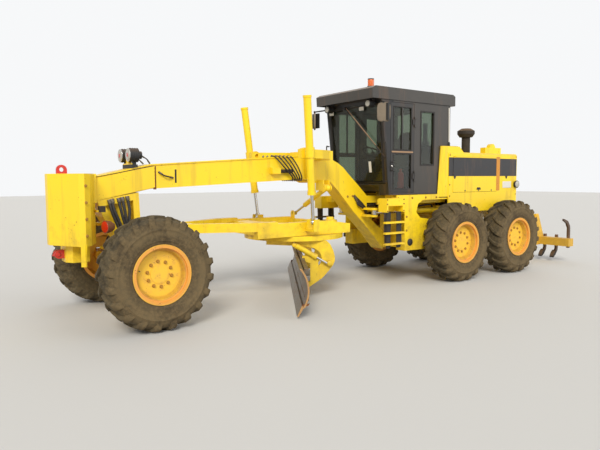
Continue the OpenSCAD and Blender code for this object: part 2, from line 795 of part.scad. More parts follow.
module nose_weight() {
  a = nose_reach;
  h = nose_half;
  color(yellow) place() {
    // Folded nose plate round a solid weight
    translate([0, 0, 980]) linear_extrude(860) polygon([
      [430, -170], [430, 170], [560, h - 60], [640, h], [700, h - 20], [a - 30, 110], [a, 60],
      [a, -60], [a - 30, -110], [700, -h + 20], [640, -h], [560, -h + 60]]);
    // Folded strips at its sides, which reach lower
    both_sides() translate([0, 0, strip_low]) linear_extrude(982 - strip_low) polygon([
      [640, h - 1], [700, h - 21], [692, h - 44], [636, h - 26]]);
    // Mounting strips at the beam's end
    both_sides() box(410 + touch, 520, 100, 190, 1480, 1840);
    box(410 + touch, 440, -190, 190, 1480, 1840);
    // Lower tow beam
    translate([0, 0, 760]) linear_extrude(225) polygon([
      [520, -200], [520, 200], [720, 200], [780, 100], [780, -100], [720, -200]]);
  }
  color("red") place() for (z = [1838, 870]) tow_eye(z);
}

tow_hole_r = 27;
strip_low = 740;

module tow_eye(z) {
  t = 36;
  if (z > 1500) difference() {
    union() {
      rod_y([770, 0, z + 50], -t / 2, t / 2, 62);
      box(708, 832, -t / 2, t / 2, z, z + 50);
    }
    rod_y([770, 0, z + 54], -t, t, tow_hole_r);
  }
  else for (y = [-40, 40]) difference() {
    union() {
      box(775, 845, y - 12, y + 12, z - 62, z + 38);
      rod_y([845, 0, z - 12], y - 12, y + 12, 50);
    }
    rod_y([845, 0, z - 12], y - 13, y + 13, tow_hole_r);
  }
}

// Height of the beam's sloping top
function beam_z(x) = beam_top[0][1] + (beam_top[0][0] - x) * (beam_top[1][1] - beam_top[0][1]) / 710;

module headlamps() {
  color("black") place() {
    for (y = [-150, 150]) {
      rod_x([0, y, 2080], -130, -10, 88);
      rod_x([0, y, 2080], -180, -129, 50);
      box(-110, -60, y - 12, y + 12, 1950, 2005);
    }
    side_plate([
      [-125, beam_z(-125) + touch], [-125, 1960], [-45, 1960], [-45, beam_z(-45) + touch]], -175, 175);
  }
}

module lift_saddle() {
  w = beam_w / 2 + 14 + touch;
  color(yellow) place() {
    // Clamp round the beam
    both_sides() {
      side_plate([
        [-2820, 1760], [-2790, 2190], [-3180, 2190], [-3230, 1990], [-3190, 1700], [-2960, 1700]], w, w + 42);
      // Arm out to the trunnion
      lift_arm(w);
    }
    box(-3180, -2790, -w - 20, w + 20, 2130 + touch, 2190);
    // Bracket and pin of the side shift cylinder
    for (x = [-64, 47]) {
      box(shift_pin[0] + x, shift_pin[0] + x + 17, w, shift_pin[1], shift_pin[2] - 40, shift_pin[2] + 120);
      rod_x(shift_pin, shift_pin[0] + x, shift_pin[0] + x + 17, 58);
    }
    rod_x(shift_pin, shift_pin[0] - 68, shift_pin[0] + 68, 20);
  }
}

module lift_arm(w) {
  p = lift_pin;
  difference() {
    union() {
      box(-3080, -2860, w, 520, 2050, 2190);
      translate([0, 0, 2065]) linear_extrude(130) polygon([
        [-3000, 420], [-3000, 560], [-2480, 735], [-2330, 735], [-2330, 640], [-2860, 420]]);
      rod_y(p, 640, 735, 78);
    }
    rod_y(p, 600, 740, 32 + running);
  }
}

// Front axle with the two double-ended cylinders
axle_half = 70;
cheek_t = 28;
cheek_out = axle_half + gap + cheek_t;

module front_axle() {
  z = lean_z;
  e = lean_y + 40;
  color(yellow) place() {
    difference() {
      cross_plate([
        [-e, z - 50], [-e, z + 50], [-560, z + 75], [-300, 860], [300, 860], [560, z + 75],
        [e, z + 50], [e, z - 50], [560, z - 70], [300, 640], [-300, 640], [-560, z - 70]],
        -axle_half, axle_half);
      both_sides() rod_x([0, lean_y, z], -axle_half - 1, axle_half + 1, 30 + running);
    }
    // Oscillation bearing under the drop column
    rod_x([0, 0, 800], -112, 112, 75);
    box(-105, 105, -100, 100, 850, 880 - touch);
    axle_barrel(-steer_back, steer_z, 170, steer_rod_r);
    axle_barrel(lean_bar_x, lean_bar_z, 150, 22);
  }
}

steer_z = lean_z - 122;
lean_bar_x = 165;

// Barrel of a double-ended cylinder on two brackets
module axle_barrel(x, z, l, rod_r) {
  x0 = min(x, sign(x) * (axle_half - 10));
  x1 = max(x, sign(x) * (axle_half - 10));
  difference() {
    union() {
      rod_y([x, 0, z], -l, l, rod_r + 20);
      both_sides() box(x0, x1, l - 60, l - 20, min(z - 25, 700), max(z + 25, 700));
    }
    rod_y([x, 0, z], -l - 1, l + 1, rod_r + running);
  }
}

// Yoke that leans on the axle's end and holds the kingpin
yoke_low = lean_z - 135;
yoke_high = wheel_z + 70;
yoke_t = 40;
lean_bar_z = yoke_high + 55;

module lean_yoke(s) {
  z = lean_z;
  k = kingpin_y;
  i = axle_half + gap;
  o = cheek_out;
  color(yellow) place() mirror([0, s > 0 ? 0 : 1, 0]) {
    // Cheeks before and behind the axle's end, on the lean pin
    for (x = [-o, i]) {
      rod_x([0, lean_y, z], x, x + cheek_t, 50);
      box(x, x + cheek_t, lean_y, lean_y + 58, z - 50, yoke_high + yoke_t);
    }
    box(i, o, lean_y, lean_y + 58, yoke_low, z);
    rod_x([0, lean_y, z], -o - 8, o + 8, 30);
    // Upper and lower arms with the kingpin
    for (z0 = [yoke_low, yoke_high]) {
      box(-o, o, lean_y, k + 5, z0, z0 + yoke_t);
      rod_z([0, k], z0, z0 + yoke_t, 58);
    }
    rod_z([0, k], yoke_low - 8, yoke_high + yoke_t + 8, 28);
    // Horn for the lean bar
    box(o - 10, lean_bar_x - 30, lean_y, lean_y + 30, lean_bar_z - 45, lean_bar_z + 35);
  }
}

module lean_bar() {
  color(steel) place() {
    rod_y([lean_bar_x, 0, lean_bar_z], -lean_y + 40, lean_y - 40, 22);
    both_sides() rod_x([0, lean_y - 10, lean_bar_z], lean_bar_x - 22, lean_bar_x + 22, 32);
  }
}

// Knuckle: turns on the kingpin and carries the wheel's spindle
module knuckle(s) {
  k = kingpin_y;
  low = yoke_low + yoke_t + gap;
  color(yellow) place() mirror([0, s > 0 ? 0 : 1, 0]) {
    difference() {
      union() {
        rod_z([0, k], low, yoke_high - gap, 50);
        rod_y([0, 0, wheel_z], k, hub_in - gap, 60);
        rod_y([0, 0, wheel_z], hub_in - gap - 30, hub_in - gap, 80);
        rod_y([0, 0, wheel_z], hub_in - gap - 1, spindle_end, front_bore);
        // Steering arm over the rod's eye
        box(-steer_back, -30, k - 24, k + 24, low + 12, low + 32);
        rod_z([-steer_back, k], low + 12, low + 32, 24);
      }
      rod_z([0, k], low - 1, yoke_high, 28 + running);
    }
  }
}

module steer_rod() {
  x = -steer_back;
  k = kingpin_y;
  color(steel) place() {
    rod_y([x, 0, steer_z], -k + 70, k - 70, steer_rod_r);
    both_sides() {
      rod_y([x, 0, steer_z], k - 71, k - 10, 8);
      rod_z([x, k], steer_z - 11, steer_z + 11, 20);
    }
  }
}

// Frame cylinders
frame_v = frame_eye - frame_base;

module frame_barrel(s) {
  color(yellow) place() mirror([0, s > 0 ? 0 : 1, 0]) {
    cylinder_barrel(frame_base, frame_v, 900, 50, 30, 33, [0, 0, 1]);
    rod_z(frame_base, 1200 - 80, 1200 + 80, 24.9);
  }
}

module frame_rod(s) {
  color(steel) place() mirror([0, s > 0 ? 0 : 1, 0])
    cylinder_rod(frame_eye, -frame_v, norm(frame_v) - 560, 30 - running, 30, 33);
}

// Drawbar with its ball socket, side plates, lift brackets and the guide shoes of the circle
lip_t = 28;
shoe_a = [0, 70, 110, 180, 250, 290];

module drawbar() {
  z0 = circle_top + gap - 1;
  e = lift_eye;
  color(yellow) place() {
    difference() {
      union() {
        // Socket and the two arms to the circle
        rod_x(ball, ball[0] - 120, ball[0] + 28, 95);
        both_sides() translate([0, 0, 1030]) linear_extrude(125) polygon([
          [ball[0] - 70, 0], [ball[0] - 70, 70], [-1650, 640], [-1980, 640], [-1980, 520], [-1700, 520],
          [-900, 170], [-900, 0]]);
      }
      translate(ball) sphere(r = 60 + touch, $fn = 48);
      rod_x(ball, ball[0], ball[0] + 60, 52);
    }
    both_sides() {
      // Side plates over the circle
      box(-3020, -1640, 540, 640, z0, 1130);
      // Forks of the lift rods
      box(e[0] - 60, e[0] + 60, 600, 858, 1000, 1030);
      for (y = [668, 834]) side_plate([
        [e[0] - 60, 1001], [e[0] + 60, 1001], [e[0] + 45, 1175], [e[0] - 45, 1175]], y, y + 24);
    }
    // Cross plates over the circle
    box(-2150, -1880, -560, 560, z0, 1110);
    box(-3360, -3020, -331, 331, z0, 1070);
    both_sides() side_plate([
      [-3020, z0], [-3020, 1100], [-3120, 1100], [-3330, 1070], [-3330, z0]], 330, 640);
    box(-3021, -2980, -560, 560, z0, 1100);
    // Shoes that hold the circle by its inner lip
    translate([circle_x, 0, 0]) for (a = shoe_a) rotate([0, 0, a]) {
      box(560, 648, -60, 60, circle_top - 55, z0 + 1);
      box(600, 695, -60, 60, circle_top - 55, circle_top - lip_t - touch);
    }
    // Lug beside the eye of the side shift cylinder
    difference() {
      union() {
        box(shift_eye[0] + 32, shift_eye[0] + 54, shift_eye[1] - 45, shift_eye[1] + 45, 1090, shift_eye[2]);
        rod_x(shift_eye, shift_eye[0] + 32, shift_eye[0] + 54, 45);
      }
      rod_x(shift_eye, shift_eye[0] + 31, shift_eye[0] + 55, 18);
    }
  }
}

// Circle: outer band, inner lip and the two arms down to the blade
module circle_ring() {
  r = circle_r;
  color(yellow) place() translate([circle_x, 0, 0]) {
    difference() {
      rod_z([0, 0], circle_top - 70, circle_top, r);
      rod_z([0, 0], circle_top - 71, circle_top - lip_t, r - 60);
      rod_z([0, 0], circle_top - lip_t - 1, circle_top + 1, r - 125);
    }
    rotate([0, 0, -blade_yaw]) both_sides() blade_arm();
  }
}

// In the blade's frame y runs along the blade and x points ahead
module blade_arm() {
  p = tip_pin;
  difference() {
    union() {
      side_plate([
        [430, circle_top - 65], [-400, circle_top - 65], [-470, 845], [-520, 795], [-565, 700], [-588, 610],
        [-586, 545], [-560, 485], [-500, 405], [-430, 325], [p[0] - 90, 275], [p[0] - 20, 262],
        [p[0] + 45, 295],
        [p[0] + 40, 400], [-330, 455], [-378, 515], [-392, 580], [-380, 645], [-340, 700], [-275, 740],
        [-150, 770], [430, 800]], 600, 650);
      rod_y(p, 600, 650, 62);
    }
    rod_y(p, 599, 651, tip_pin_r + running);
  }
}

module blade_frame() {
  translate([circle_x, 0, 0]) rotate([0, 0, -blade_yaw]) children();
}

// Moldboard section: a plate of one radius, concave to the front
plate_r = 420;
plate_t = 22;
plate_c = [325, blade_lift + 330];
rail_high = [blade_lift + 510, blade_lift + 565];
rail_low = [blade_lift + 145, blade_lift + 200];
rail_x = -128;

module blade_carrier() {
  p = tip_pin;
  color(yellow) place() blade_frame() {
    both_sides() difference() {
      union() {
        // Plate with its slide shoes over and under the rails
        side_plate([
          [p[0] - 60, p[2] - 60], [p[0] - 40, rail_high[1] + 34], [rail_x + 30, rail_high[1] + 34],
          [rail_x + 30, rail_high[1] + touch], [rail_x - 8, rail_high[1] + touch], [rail_x - 8, rail_high[0]],
          [-215, rail_high[0] - 20], [-215, rail_low[1] + 20], [rail_x - 8, rail_low[1]],
          [rail_x - 8, rail_low[0] - touch], [rail_x + 30, rail_low[0] - touch],
          [rail_x + 30, rail_low[0] - 34], [rail_x - 40, rail_low[0] - 34]], 656, 700);
        rod_y(p, 590, 700, tip_pin_r);
      }
    }
    rod_y([-255, 0, rail_high[0] + 20], -660, 660, 34);
    // Barrel of the blade's side shift cylinder, clamped in the right plate
    difference() {
      union() {
        rod_y(blade_cyl, -1080, 0, 38);
        rod_y(blade_cyl, -30, 0, 44);
        box(-230, blade_cyl[0], -700, -656, blade_cyl[2] - 44, blade_cyl[2] + 44);
      }
      rod_y(blade_cyl, -1060, 1, 22 + running);
    }
  }
}

tip_pin_r = 32;
blade_cyl = [-165, 0, blade_lift + 370];

module moldboard() {
  color("gray") place() blade_frame() {
    translate([0, blade_l / 2, 0]) rotate([90, 0, 0]) linear_extrude(blade_l) moldboard_profile();
    // Rails behind, and the rod of the side shift cylinder with its lug
    for (r = [rail_high, rail_low])
      box(rail_x, rail_x + 60, -blade_l / 2 + 250, blade_l / 2 - 250, r[0], r[1]);
    rod_y(blade_cyl, -550, 900, 22);
    box(blade_cyl[0] - 34, -100, 880, 915, blade_cyl[2] - 34, blade_cyl[2] + 34);
  }
}

// Curved plate with the cutting edge bolted to the front of its foot
module moldboard_profile() {
  foot = blade_lift + 110;
  difference() {
    translate(plate_c) difference() {
      circle(r = plate_r + plate_t, $fn = 96);
      circle(r = plate_r, $fn = 96);
    }
    translate([-600, foot - 600]) square([1400, 600]);
    translate([-600, blade_lift + blade_h]) square([1400, 600]);
    translate([120, 0]) square([1400, 1400]);
  }
  polygon([[-48, foot + 10], [-20, foot + 30], [42, blade_lift], [20, blade_lift]]);
}

module lift_barrel(s) {
  u = (lift_top - lift_pin) / norm(lift_top - lift_pin);
  d = (lift_pin - lift_eye) / norm(lift_pin - lift_eye);
  color(yellow) place() mirror([0, s > 0 ? 0 : 1, 0]) difference() {
    union() {
      rod(lift_pin - d * 610, lift_pin + d * 790, 56);
      rod(lift_pin - d * 610, lift_pin - d * 560, 64);
      rod(lift_pin + d * 770, lift_pin + d * 800, 62);
      rod(lift_pin - d * 70, lift_pin + d * 70, 72);
      rod_y(lift_pin, 645, 820, 32);
    }
    rod(lift_pin - d * 611, lift_pin + d * 740, 24 + running);
  }
}

module lift_rod(s) {
  d = (lift_pin - lift_eye) / norm(lift_pin - lift_eye);
  color(steel) place() mirror([0, s > 0 ? 0 : 1, 0]) {
    rod(lift_eye + d * 20, lift_eye + d * 1150, 24);
    translate(lift_eye) sphere(r = 40, $fn = 48);
    rod(lift_eye + d * 20, lift_eye + d * 70, 34);
  }
}

shift_v = shift_eye - shift_pin;

module shift_barrel() {
  u = shift_v / norm(shift_v);
  color(dark) place() difference() {
    union() {
      rod(shift_pin + u * 20, shift_pin + u * 640, 40);
      rod_x(shift_pin, shift_pin[0] - 32, shift_pin[0] + 32, 54);
    }
    rod(shift_pin + u * 115, shift_pin + u * 641, 22 + running);
    rod_x(shift_pin, shift_pin[0] - 33, shift_pin[0] + 33, 20 + running);
  }
}

module shift_rod() {
  u = shift_v / norm(shift_v);
  color(steel) place() {
    rod(shift_eye - u * 20, shift_eye - u * (norm(shift_v) - 315), 22);
    rod_x(shift_eye, shift_eye[0] - 26, shift_eye[0] + 26, 34);
  }
}

rear_frame();
rear_axle();
engine_block();
hood();
hood_door(1);  // hood_door_left
hood_door(-1);  // hood_door_right
stacks();
ladders();
cab_shell();
cab_roof();
cab_glass();
cab_door(1);  // cab_door_left
cab_door(-1);  // cab_door_right
door_glass(1);  // door_glass_left
door_glass(-1);  // door_glass_right
cab_interior();
cab_fittings();
ripper_lower_links();
ripper_upper_links();
ripper_beam();
ripper_barrel();
ripper_rod();
tyre_at(0, 1);  // tyre_front_left
tyre_at(0, -1);  // tyre_front_right
tyre_at(middle_x, 1);  // tyre_middle_left
tyre_at(middle_x, -1);  // tyre_middle_right
tyre_at(rear_x, 1);  // tyre_rear_left
tyre_at(rear_x, -1);  // tyre_rear_right
rim_at(0, 1, 110, front_bore);  // rim_front_left
rim_at(0, -1, 110, front_bore);  // rim_front_right
rim_at(middle_x, 1, 140, rear_bore);  // rim_middle_left
rim_at(middle_x, -1, 140, rear_bore);  // rim_middle_right
rim_at(rear_x, 1, 140, rear_bore);  // rim_rear_left
rim_at(rear_x, -1, 140, rear_bore);  // rim_rear_right
front_frame();
nose_weight();
headlamps();
lift_saddle();
front_axle();
lean_yoke(1);  // lean_yoke_left
lean_yoke(-1);  // lean_yoke_right
lean_bar();
knuckle(1);  // knuckle_left
knuckle(-1);  // knuckle_right
steer_rod();
frame_barrel(1);  // frame_barrel_left
frame_barrel(-1);  // frame_barrel_right
frame_rod(1);  // frame_rod_left
frame_rod(-1);  // frame_rod_right
drawbar();
circle_ring();  // circle
blade_carrier();
moldboard();
lift_barrel(1);  // lift_barrel_left
lift_barrel(-1);  // lift_barrel_right
lift_rod(1);  // lift_rod_left
lift_rod(-1);  // lift_rod_right
shift_barrel();
shift_rod();
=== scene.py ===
"""Motor grader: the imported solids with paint, dust and wear, and the small pieces laid over them.
X forward, Y left, Z up, counted from the front axle. Pieces are in millimetres, all the rest in metres."""
import bmesh
import bpy
import math
import numpy as np
from mathutils import Matrix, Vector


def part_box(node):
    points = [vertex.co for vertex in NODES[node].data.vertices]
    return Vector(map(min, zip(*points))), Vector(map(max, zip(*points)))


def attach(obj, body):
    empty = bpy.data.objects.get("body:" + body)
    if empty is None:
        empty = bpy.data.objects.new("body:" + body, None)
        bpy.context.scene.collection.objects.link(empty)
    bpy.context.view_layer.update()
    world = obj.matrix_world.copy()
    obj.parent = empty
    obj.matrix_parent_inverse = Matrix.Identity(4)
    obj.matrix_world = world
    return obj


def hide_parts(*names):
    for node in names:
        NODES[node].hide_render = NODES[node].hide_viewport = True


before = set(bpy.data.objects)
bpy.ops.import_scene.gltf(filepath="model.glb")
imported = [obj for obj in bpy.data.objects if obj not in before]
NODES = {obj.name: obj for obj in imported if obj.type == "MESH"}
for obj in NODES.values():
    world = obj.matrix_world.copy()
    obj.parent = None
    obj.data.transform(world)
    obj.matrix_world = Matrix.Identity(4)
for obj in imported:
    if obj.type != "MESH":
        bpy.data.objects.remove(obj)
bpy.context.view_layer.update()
SIDES = (("left", 1), ("right", -1))
ROWS = ("front", "middle", "rear")
AHEAD, BACK, OUT, UP = (1, 0, 0), (-1, 0, 0), (0, 1, 0), (0, 0, 1)
TYRE_R, TRACK_HALF = 675, 1030
CIRCLE_X, BLADE_YAW = -2700, math.radians(33)


def middle_x(node):
    """The x of the middle of a node's box."""
    low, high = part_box(node)
    return float(low[0] + high[0]) / 2


AXLE_X = middle_x("rim_front_left")


def from_axle(points):
    """Places in millimetres counted from the front axle, moved to the model's origin."""
    return np.asarray(points, float) + [1000 * AXLE_X, 0, 0]


# Shader maths
def maths(name, swapped=False):
    """A method that adds one maths node."""
    def made(self, other=0):
        first, second = (other, self) if swapped else (self, other)
        return self.tree.node("Math", {0: first, 1: second}, operation=name)
    return made


class Link:
    """A socket that adds nodes when it is used in an expression."""
    __add__ = __radd__ = maths("ADD")
    __mul__ = __rmul__ = maths("MULTIPLY")
    __sub__ = maths("SUBTRACT")
    __rsub__ = maths("SUBTRACT", swapped=True)
    __abs__ = maths("ABSOLUTE")
    root = maths("SQRT")
    most = maths("MAXIMUM")

    def __init__(self, tree, socket):
        self.tree, self.socket = tree, socket

    def above(self, edge, width):
        """0 below the edge and 1 above it, with a soft step of the given width."""
        limits = {0: self, 1: edge - width / 2, 2: edge + width / 2, 3: 0, 4: 1}
        return self.tree.node("MapRange", limits, clamp=True, interpolation_type="SMOOTHSTEP")

    def below(self, edge, width):
        return 1 - self.above(edge, width)


class Tree:
    """The nodes of one material, made under the given name, or of the world."""

    def __init__(self, owner, output="OutputMaterial"):
        self.owner = bpy.data.materials.new(owner) if isinstance(owner, str) else owner
        self.owner.use_nodes = True
        self.nodes = self.owner.node_tree.nodes
        self.links = self.owner.node_tree.links
        self.nodes.clear()
        self.output = self.nodes.new("ShaderNode" + output)

    def node(self, kind, values=(), out=0, **settings):
        """One node: its settings, then its sockets' values or links; gives back one output."""
        made = self.nodes.new("ShaderNode" + kind)
        for key, value in settings.items():
            setattr(made, key, value)
        for key, value in dict(values).items():
            socket = made.inputs[key]
            if isinstance(value, Link):
                self.links.new(value.socket, socket)
            else:
                socket.default_value = (*value, 1) if socket.type == "RGBA" else value
        return Link(self, made.outputs[out])

    def show(self, shader):
        """Links a shader to the output; gives back the material."""
        self.links.new(shader.socket, self.output.inputs[0])
        return self.owner

    def place(self):
        return self.node("TexCoord", out="Object")

    def axes(self, vector):
        parts = self.nodes.new("ShaderNodeSeparateXYZ")
        self.links.new(vector.socket, parts.inputs[0])
        return [Link(self, output) for output in parts.outputs]

    def noise(self, scale, detail=4, rough=0.55, stretch=(1, 1, 1)):
        where = self.node("Mapping", {0: self.place(), 3: stretch}, vector_type="POINT")
        return self.node("TexNoise", {"Vector": where, "Scale": scale, "Detail": detail, "Roughness": rough})

    def mix(self, factor, first, second):
        return self.node("Mix", {0: factor, 6: first, 7: second}, 2, data_type="RGBA", clamp_factor=True)

    def up(self):
        """How far a face looks up, from -1 to 1."""
        return self.axes(self.node("TexCoord", out="Normal"))[2]

    def inside(self, limits):
        """1 inside (low, high) limits on x from the front axle, y without its sign, and z; None is open."""
        x, y, z = self.axes(self.place())
        mask = 1
        for value, (low, high), start in zip((x, abs(y), z), limits, (AXLE_X, 0, 0)):
            if low is not None:
                mask = value.above(low + start, 0.002) * mask
            if high is not None:
                mask = value.below(high + start, 0.002) * mask
        return mask

    def bump(self, height, strength, distance):
        return self.node("Bump", {"Height": height, "Strength": strength, "Distance": distance})

    def surface(self, **sockets):
        values = {key.replace("_", " "): value for key, value in sockets.items()}
        return self.show(self.node("BsdfPrincipled", values))


def rgb(r, g, b):
    """An sRGB colour of 0 to 255 as linear light."""
    values = np.array([r, g, b]) / 255
    linear = np.where(values <= 0.04045, values / 12.92, ((values + 0.055) / 1.055) ** 2.4)
    return tuple(float(v) for v in linear)


DUST = rgb(166, 128, 88)
EARTH = rgb(122, 88, 58)
RUST = rgb(120, 66, 36)


def paint(name, colour, faded, rough=0.42, dust=0.5, chips=1, low=0.9, soil=EARTH, patches=()):
    """Machine paint: broad fading, dust on what looks up, soil splashed low down, chips and streaks."""
    t = Tree(name)
    height = t.axes(t.place())[2]
    broad = t.noise(0.9, 3)
    fine = t.noise(9, 5, 0.6)
    grit = t.noise(60, 4, 0.65)
    streaks = t.noise(6, 4, 0.6, stretch=(1, 1, 0.12))
    base = t.mix(broad.above(0.52, 0.3) * 0.55, colour, faded)
    for limits, other in patches:
        patch = t.mix(fine.above(0.5, 0.4) * 0.5, other, tuple(0.7 * c for c in other))
        base = t.mix(t.inside(limits), base, patch)
    base = t.mix(streaks.above(0.6, 0.16) * 0.22, base, soil)
    lying = t.up().above(0.55, 0.5) * (0.35 + fine * 0.6) * dust
    splash = (fine + height * -0.55 + 0.5 * low).above(0.5, 0.55) * 0.75 * dust
    base = t.mix(lying, base, DUST)
    base = t.mix(splash, base, soil)
    chip = (grit * 0.55 + fine * 0.45).above(0.635, 0.02) * chips
    base = t.mix(chip, base, RUST)
    roughness = rough + lying * 0.4 + splash * 0.4 + chip * 0.25 + grit * 0.06
    bumps = t.bump(broad * 0.5 + grit * 0.05 - chip * 0.12, 0.25, 0.01)
    return t.surface(Base_Color=base, Roughness=roughness, Normal=bumps, Coat_Weight=0.15, Coat_Roughness=0.2)


def tyre_rubber():
    """Black rubber under dry soil: soil lies in the low spots of the tread and on the side wall; darker
    patches on the tread are painted shade for its grooves.
    """
    t = Tree("tyre_rubber_worn")
    coarse = t.noise(3.2, 5, 0.6)
    fine = t.noise(26, 6, 0.62)
    grit = t.noise(140, 3, 0.6)
    soiled = (coarse * 0.6 + fine * 0.4).above(0.42, 0.3)
    base = t.mix(soiled * 0.9, rgb(62, 56, 44), rgb(104, 92, 68))
    base = t.mix((fine * 0.5 + grit * 0.5).above(0.56, 0.14) * 0.35, base, rgb(134, 114, 82))
    base = t.mix(coarse.below(0.42, 0.14) * 0.5, base, rgb(48, 44, 36))
    y = abs(t.axes(t.place())[1])
    base = t.mix((y.above(1.2, 0.03) * fine.above(0.35, 0.5)) * 0.3, base, rgb(120, 96, 62))
    # Darker noise patches over the tread and inner side wall: painted shade standing for the grooves between
    # the lugs, though they don't follow the lugs
    painted_groove_shade = y.below(1.244, 0.01) * fine.below(0.62, 0.4) * 0.35
    base = t.mix(painted_groove_shade, base, rgb(58, 50, 38))
    bumps = t.bump(fine * 0.4 + grit * 0.25, 0.5, 0.006)
    return t.surface(Base_Color=base, Roughness=0.92 - grit * 0.08, Normal=bumps, Specular_IOR_Level=0.25)


def bare_steel(name, colour, rust_share, rough=0.4, ends=None):
    """Worn steel with rust blooms; ends is how far out along the blade its tan edge starts."""
    t = Tree(name)
    coarse = t.noise(5, 5, 0.6)
    fine = t.noise(45, 5, 0.65)
    scratch = t.noise(22, 4, 0.6, stretch=(0.15, 1, 2.5))
    rusty = (coarse * 0.6 + fine * 0.4).above(0.62 - rust_share * 0.3, 0.22)
    base = t.mix(scratch.above(0.5, 0.3) * 0.35, colour, tuple(0.55 * c for c in colour))
    base = t.mix(rusty, base, t.mix(fine, rgb(92, 54, 32), rgb(142, 92, 56)))
    if ends:
        x, y, _ = t.axes(t.place())
        along = (x - (AXLE_X + CIRCLE_X / 1000)) * math.sin(BLADE_YAW) + y * math.cos(BLADE_YAW)
        edge = abs(along).above(ends, 0.002)
        base = t.mix(edge, base, t.mix(fine, rgb(150, 112, 70), rgb(206, 164, 108)))
        rusty = edge * 0.7 + rusty * 0.3
    return t.surface(Base_Color=base, Roughness=rough + rusty * 0.45, Metallic=0.9 - rusty * 0.85,
                     Normal=t.bump(fine * 0.5 + scratch * 0.3, 0.35, 0.004))


def rim_coat(name, x_centre):
    """A wheel's paint: yellow disc, more orange and dusty towards the rolled edge, grime in the well."""
    t = Tree(name)
    x, _, z = t.axes(t.place())
    dx, dz = x - x_centre, z - TYRE_R / 1000
    radius = (dx * dx + dz * dz).root()
    fine = t.noise(11, 5, 0.6)
    grit = t.noise(70, 4, 0.65)
    edge = (radius + fine * 0.03 - 0.015).above(0.296, 0.03)
    base = t.mix(edge * 0.8, rgb(240, 192, 56), rgb(226, 148, 66))
    base = t.mix(fine.above(0.56, 0.2) * 0.3, base, rgb(206, 150, 84))
    well = radius.above(0.262, 0.03) * radius.below(0.305, 0.01) * 0.45
    base = t.mix(well * (0.4 + fine), base, rgb(120, 78, 40))
    base = t.mix((grit * 0.6 + fine * 0.4).above(0.63, 0.03), base, RUST)
    return t.surface(Base_Color=base, Roughness=0.5 + fine * 0.15 + well * 0.3,
                     Normal=t.bump(fine * 0.4 + grit * 0.1, 0.3, 0.008))


def plain(name, colour, rough, metal=0, grain=30, vary=0.25, depth=0.2, dust=0.25, **more):
    """A small part's finish: slight mottling, a film of dust where it looks up, and grain."""
    t = Tree(name)
    fine = t.noise(grain, 4, 0.6)
    base = t.mix(fine.above(0.5, 0.5) * vary, colour, tuple(0.6 * c for c in colour))
    lying = t.up().above(0.5, 0.6) * (0.3 + fine * 0.6) * dust
    base = t.mix(lying, base, DUST)
    return t.surface(Base_Color=base, Roughness=rough + fine * 0.12 + lying * 0.3, Metallic=metal,
                     Normal=t.bump(fine, depth, 0.002), **more)


def window_glass():
    """Tinted safety glass with a thin film of dust."""
    t = Tree("window_glass_dusty")
    film = t.noise(1.6, 3, 0.5).above(0.5, 0.5)
    clear = t.node("BsdfTransparent", {0: rgb(198, 206, 196)})
    gloss = t.node("BsdfGlossy", {0: (0.9, 0.9, 0.9), "Roughness": 0.03})
    dusty = t.node("BsdfDiffuse", {0: rgb(150, 140, 118)})
    grazing = t.node("LayerWeight", {0: 0.5}, out=1)
    shiny = t.node("MixShader", {0: grazing * grazing * 0.22 + 0.012, 1: clear, 2: gloss})
    return t.show(t.node("MixShader", {0: film * 0.05 + 0.01, 1: shiny, 2: dusty}))


def lens(name, colour, glow=0):
    """A ribbed lamp lens in coloured plastic."""
    t = Tree(name)
    ribs = t.node("TexWave", {"Scale": 26}, bands_direction="Z")
    return t.surface(Base_Color=colour, Roughness=0.18, Normal=t.bump(ribs, 0.3, 0.002), Coat_Weight=0.6,
                     Emission_Color=colour, Emission_Strength=glow)


# Finishes; a patch is a box of limits and its colour
ANY = (None, None)
BODY, BODY_FADED, EYE_RED = rgb(255, 218, 24), rgb(248, 206, 44), rgb(206, 48, 40)
YELLOW = paint("machine_yellow", BODY, BODY_FADED)
RIM_PAINT = paint("rim_orange", rgb(240, 188, 62), rgb(220, 150, 66), 0.55, dust=0.7, chips=0.8, low=0.4)
CAB_PAINT = paint("cab_grey", rgb(58, 54, 49), rgb(68, 63, 57), 0.5, dust=0.35, chips=0.3, low=0, patches=[
    (((-4.2, None), ANY, (None, 3.031)), rgb(27, 25, 24))])
DOOR_PAINT = paint("door_charcoal", rgb(34, 32, 30), rgb(46, 43, 40), 0.45, dust=0.35, chips=0.4, low=0)
HOOD_PAINT = paint("hood_yellow_band", BODY, BODY_FADED, patches=[
    (((-7.522, -5.5), (0.76, None), (1.8, 2.13)), rgb(34, 32, 34))])
NOSE_PAINT = paint("nose_yellow", BODY, BODY_FADED, patches=[
    (((0.6, None), (None, 0.1), (1.842, None)), EYE_RED),
    (((0.782, None), (None, 0.1), (None, 0.95)), EYE_RED)])
STEP_PAINT = paint("step_yellow", BODY, BODY_FADED, patches=[
    ((ANY, (0.84, 0.8685), (None, 1.228)), rgb(40, 36, 33))])
RIPPER_PAINT = paint("ripper_yellow", rgb(244, 196, 50), rgb(222, 168, 62), chips=1.3, patches=[
    (((None, -8.992), ANY, ANY), rgb(96, 70, 50)),
    (((None, -8.7), (1, None), (0.56, None)), rgb(74, 56, 42)),
    (((None, -8.8), ANY, (None, 0.3445)), rgb(60, 47, 38))])
NUT_PAINT = plain("nut_dirty_yellow", rgb(176, 128, 44), 0.6, 0, 60, 0.6, 0.2, 0.4)
# Body yellow painted darker orange: painted shade for the recessed channel between the hood's door and rear
# panel
SHADED_CHANNEL = paint("channel_orange", rgb(214, 142, 34), rgb(190, 124, 44), rough=0.5, low=0.3)
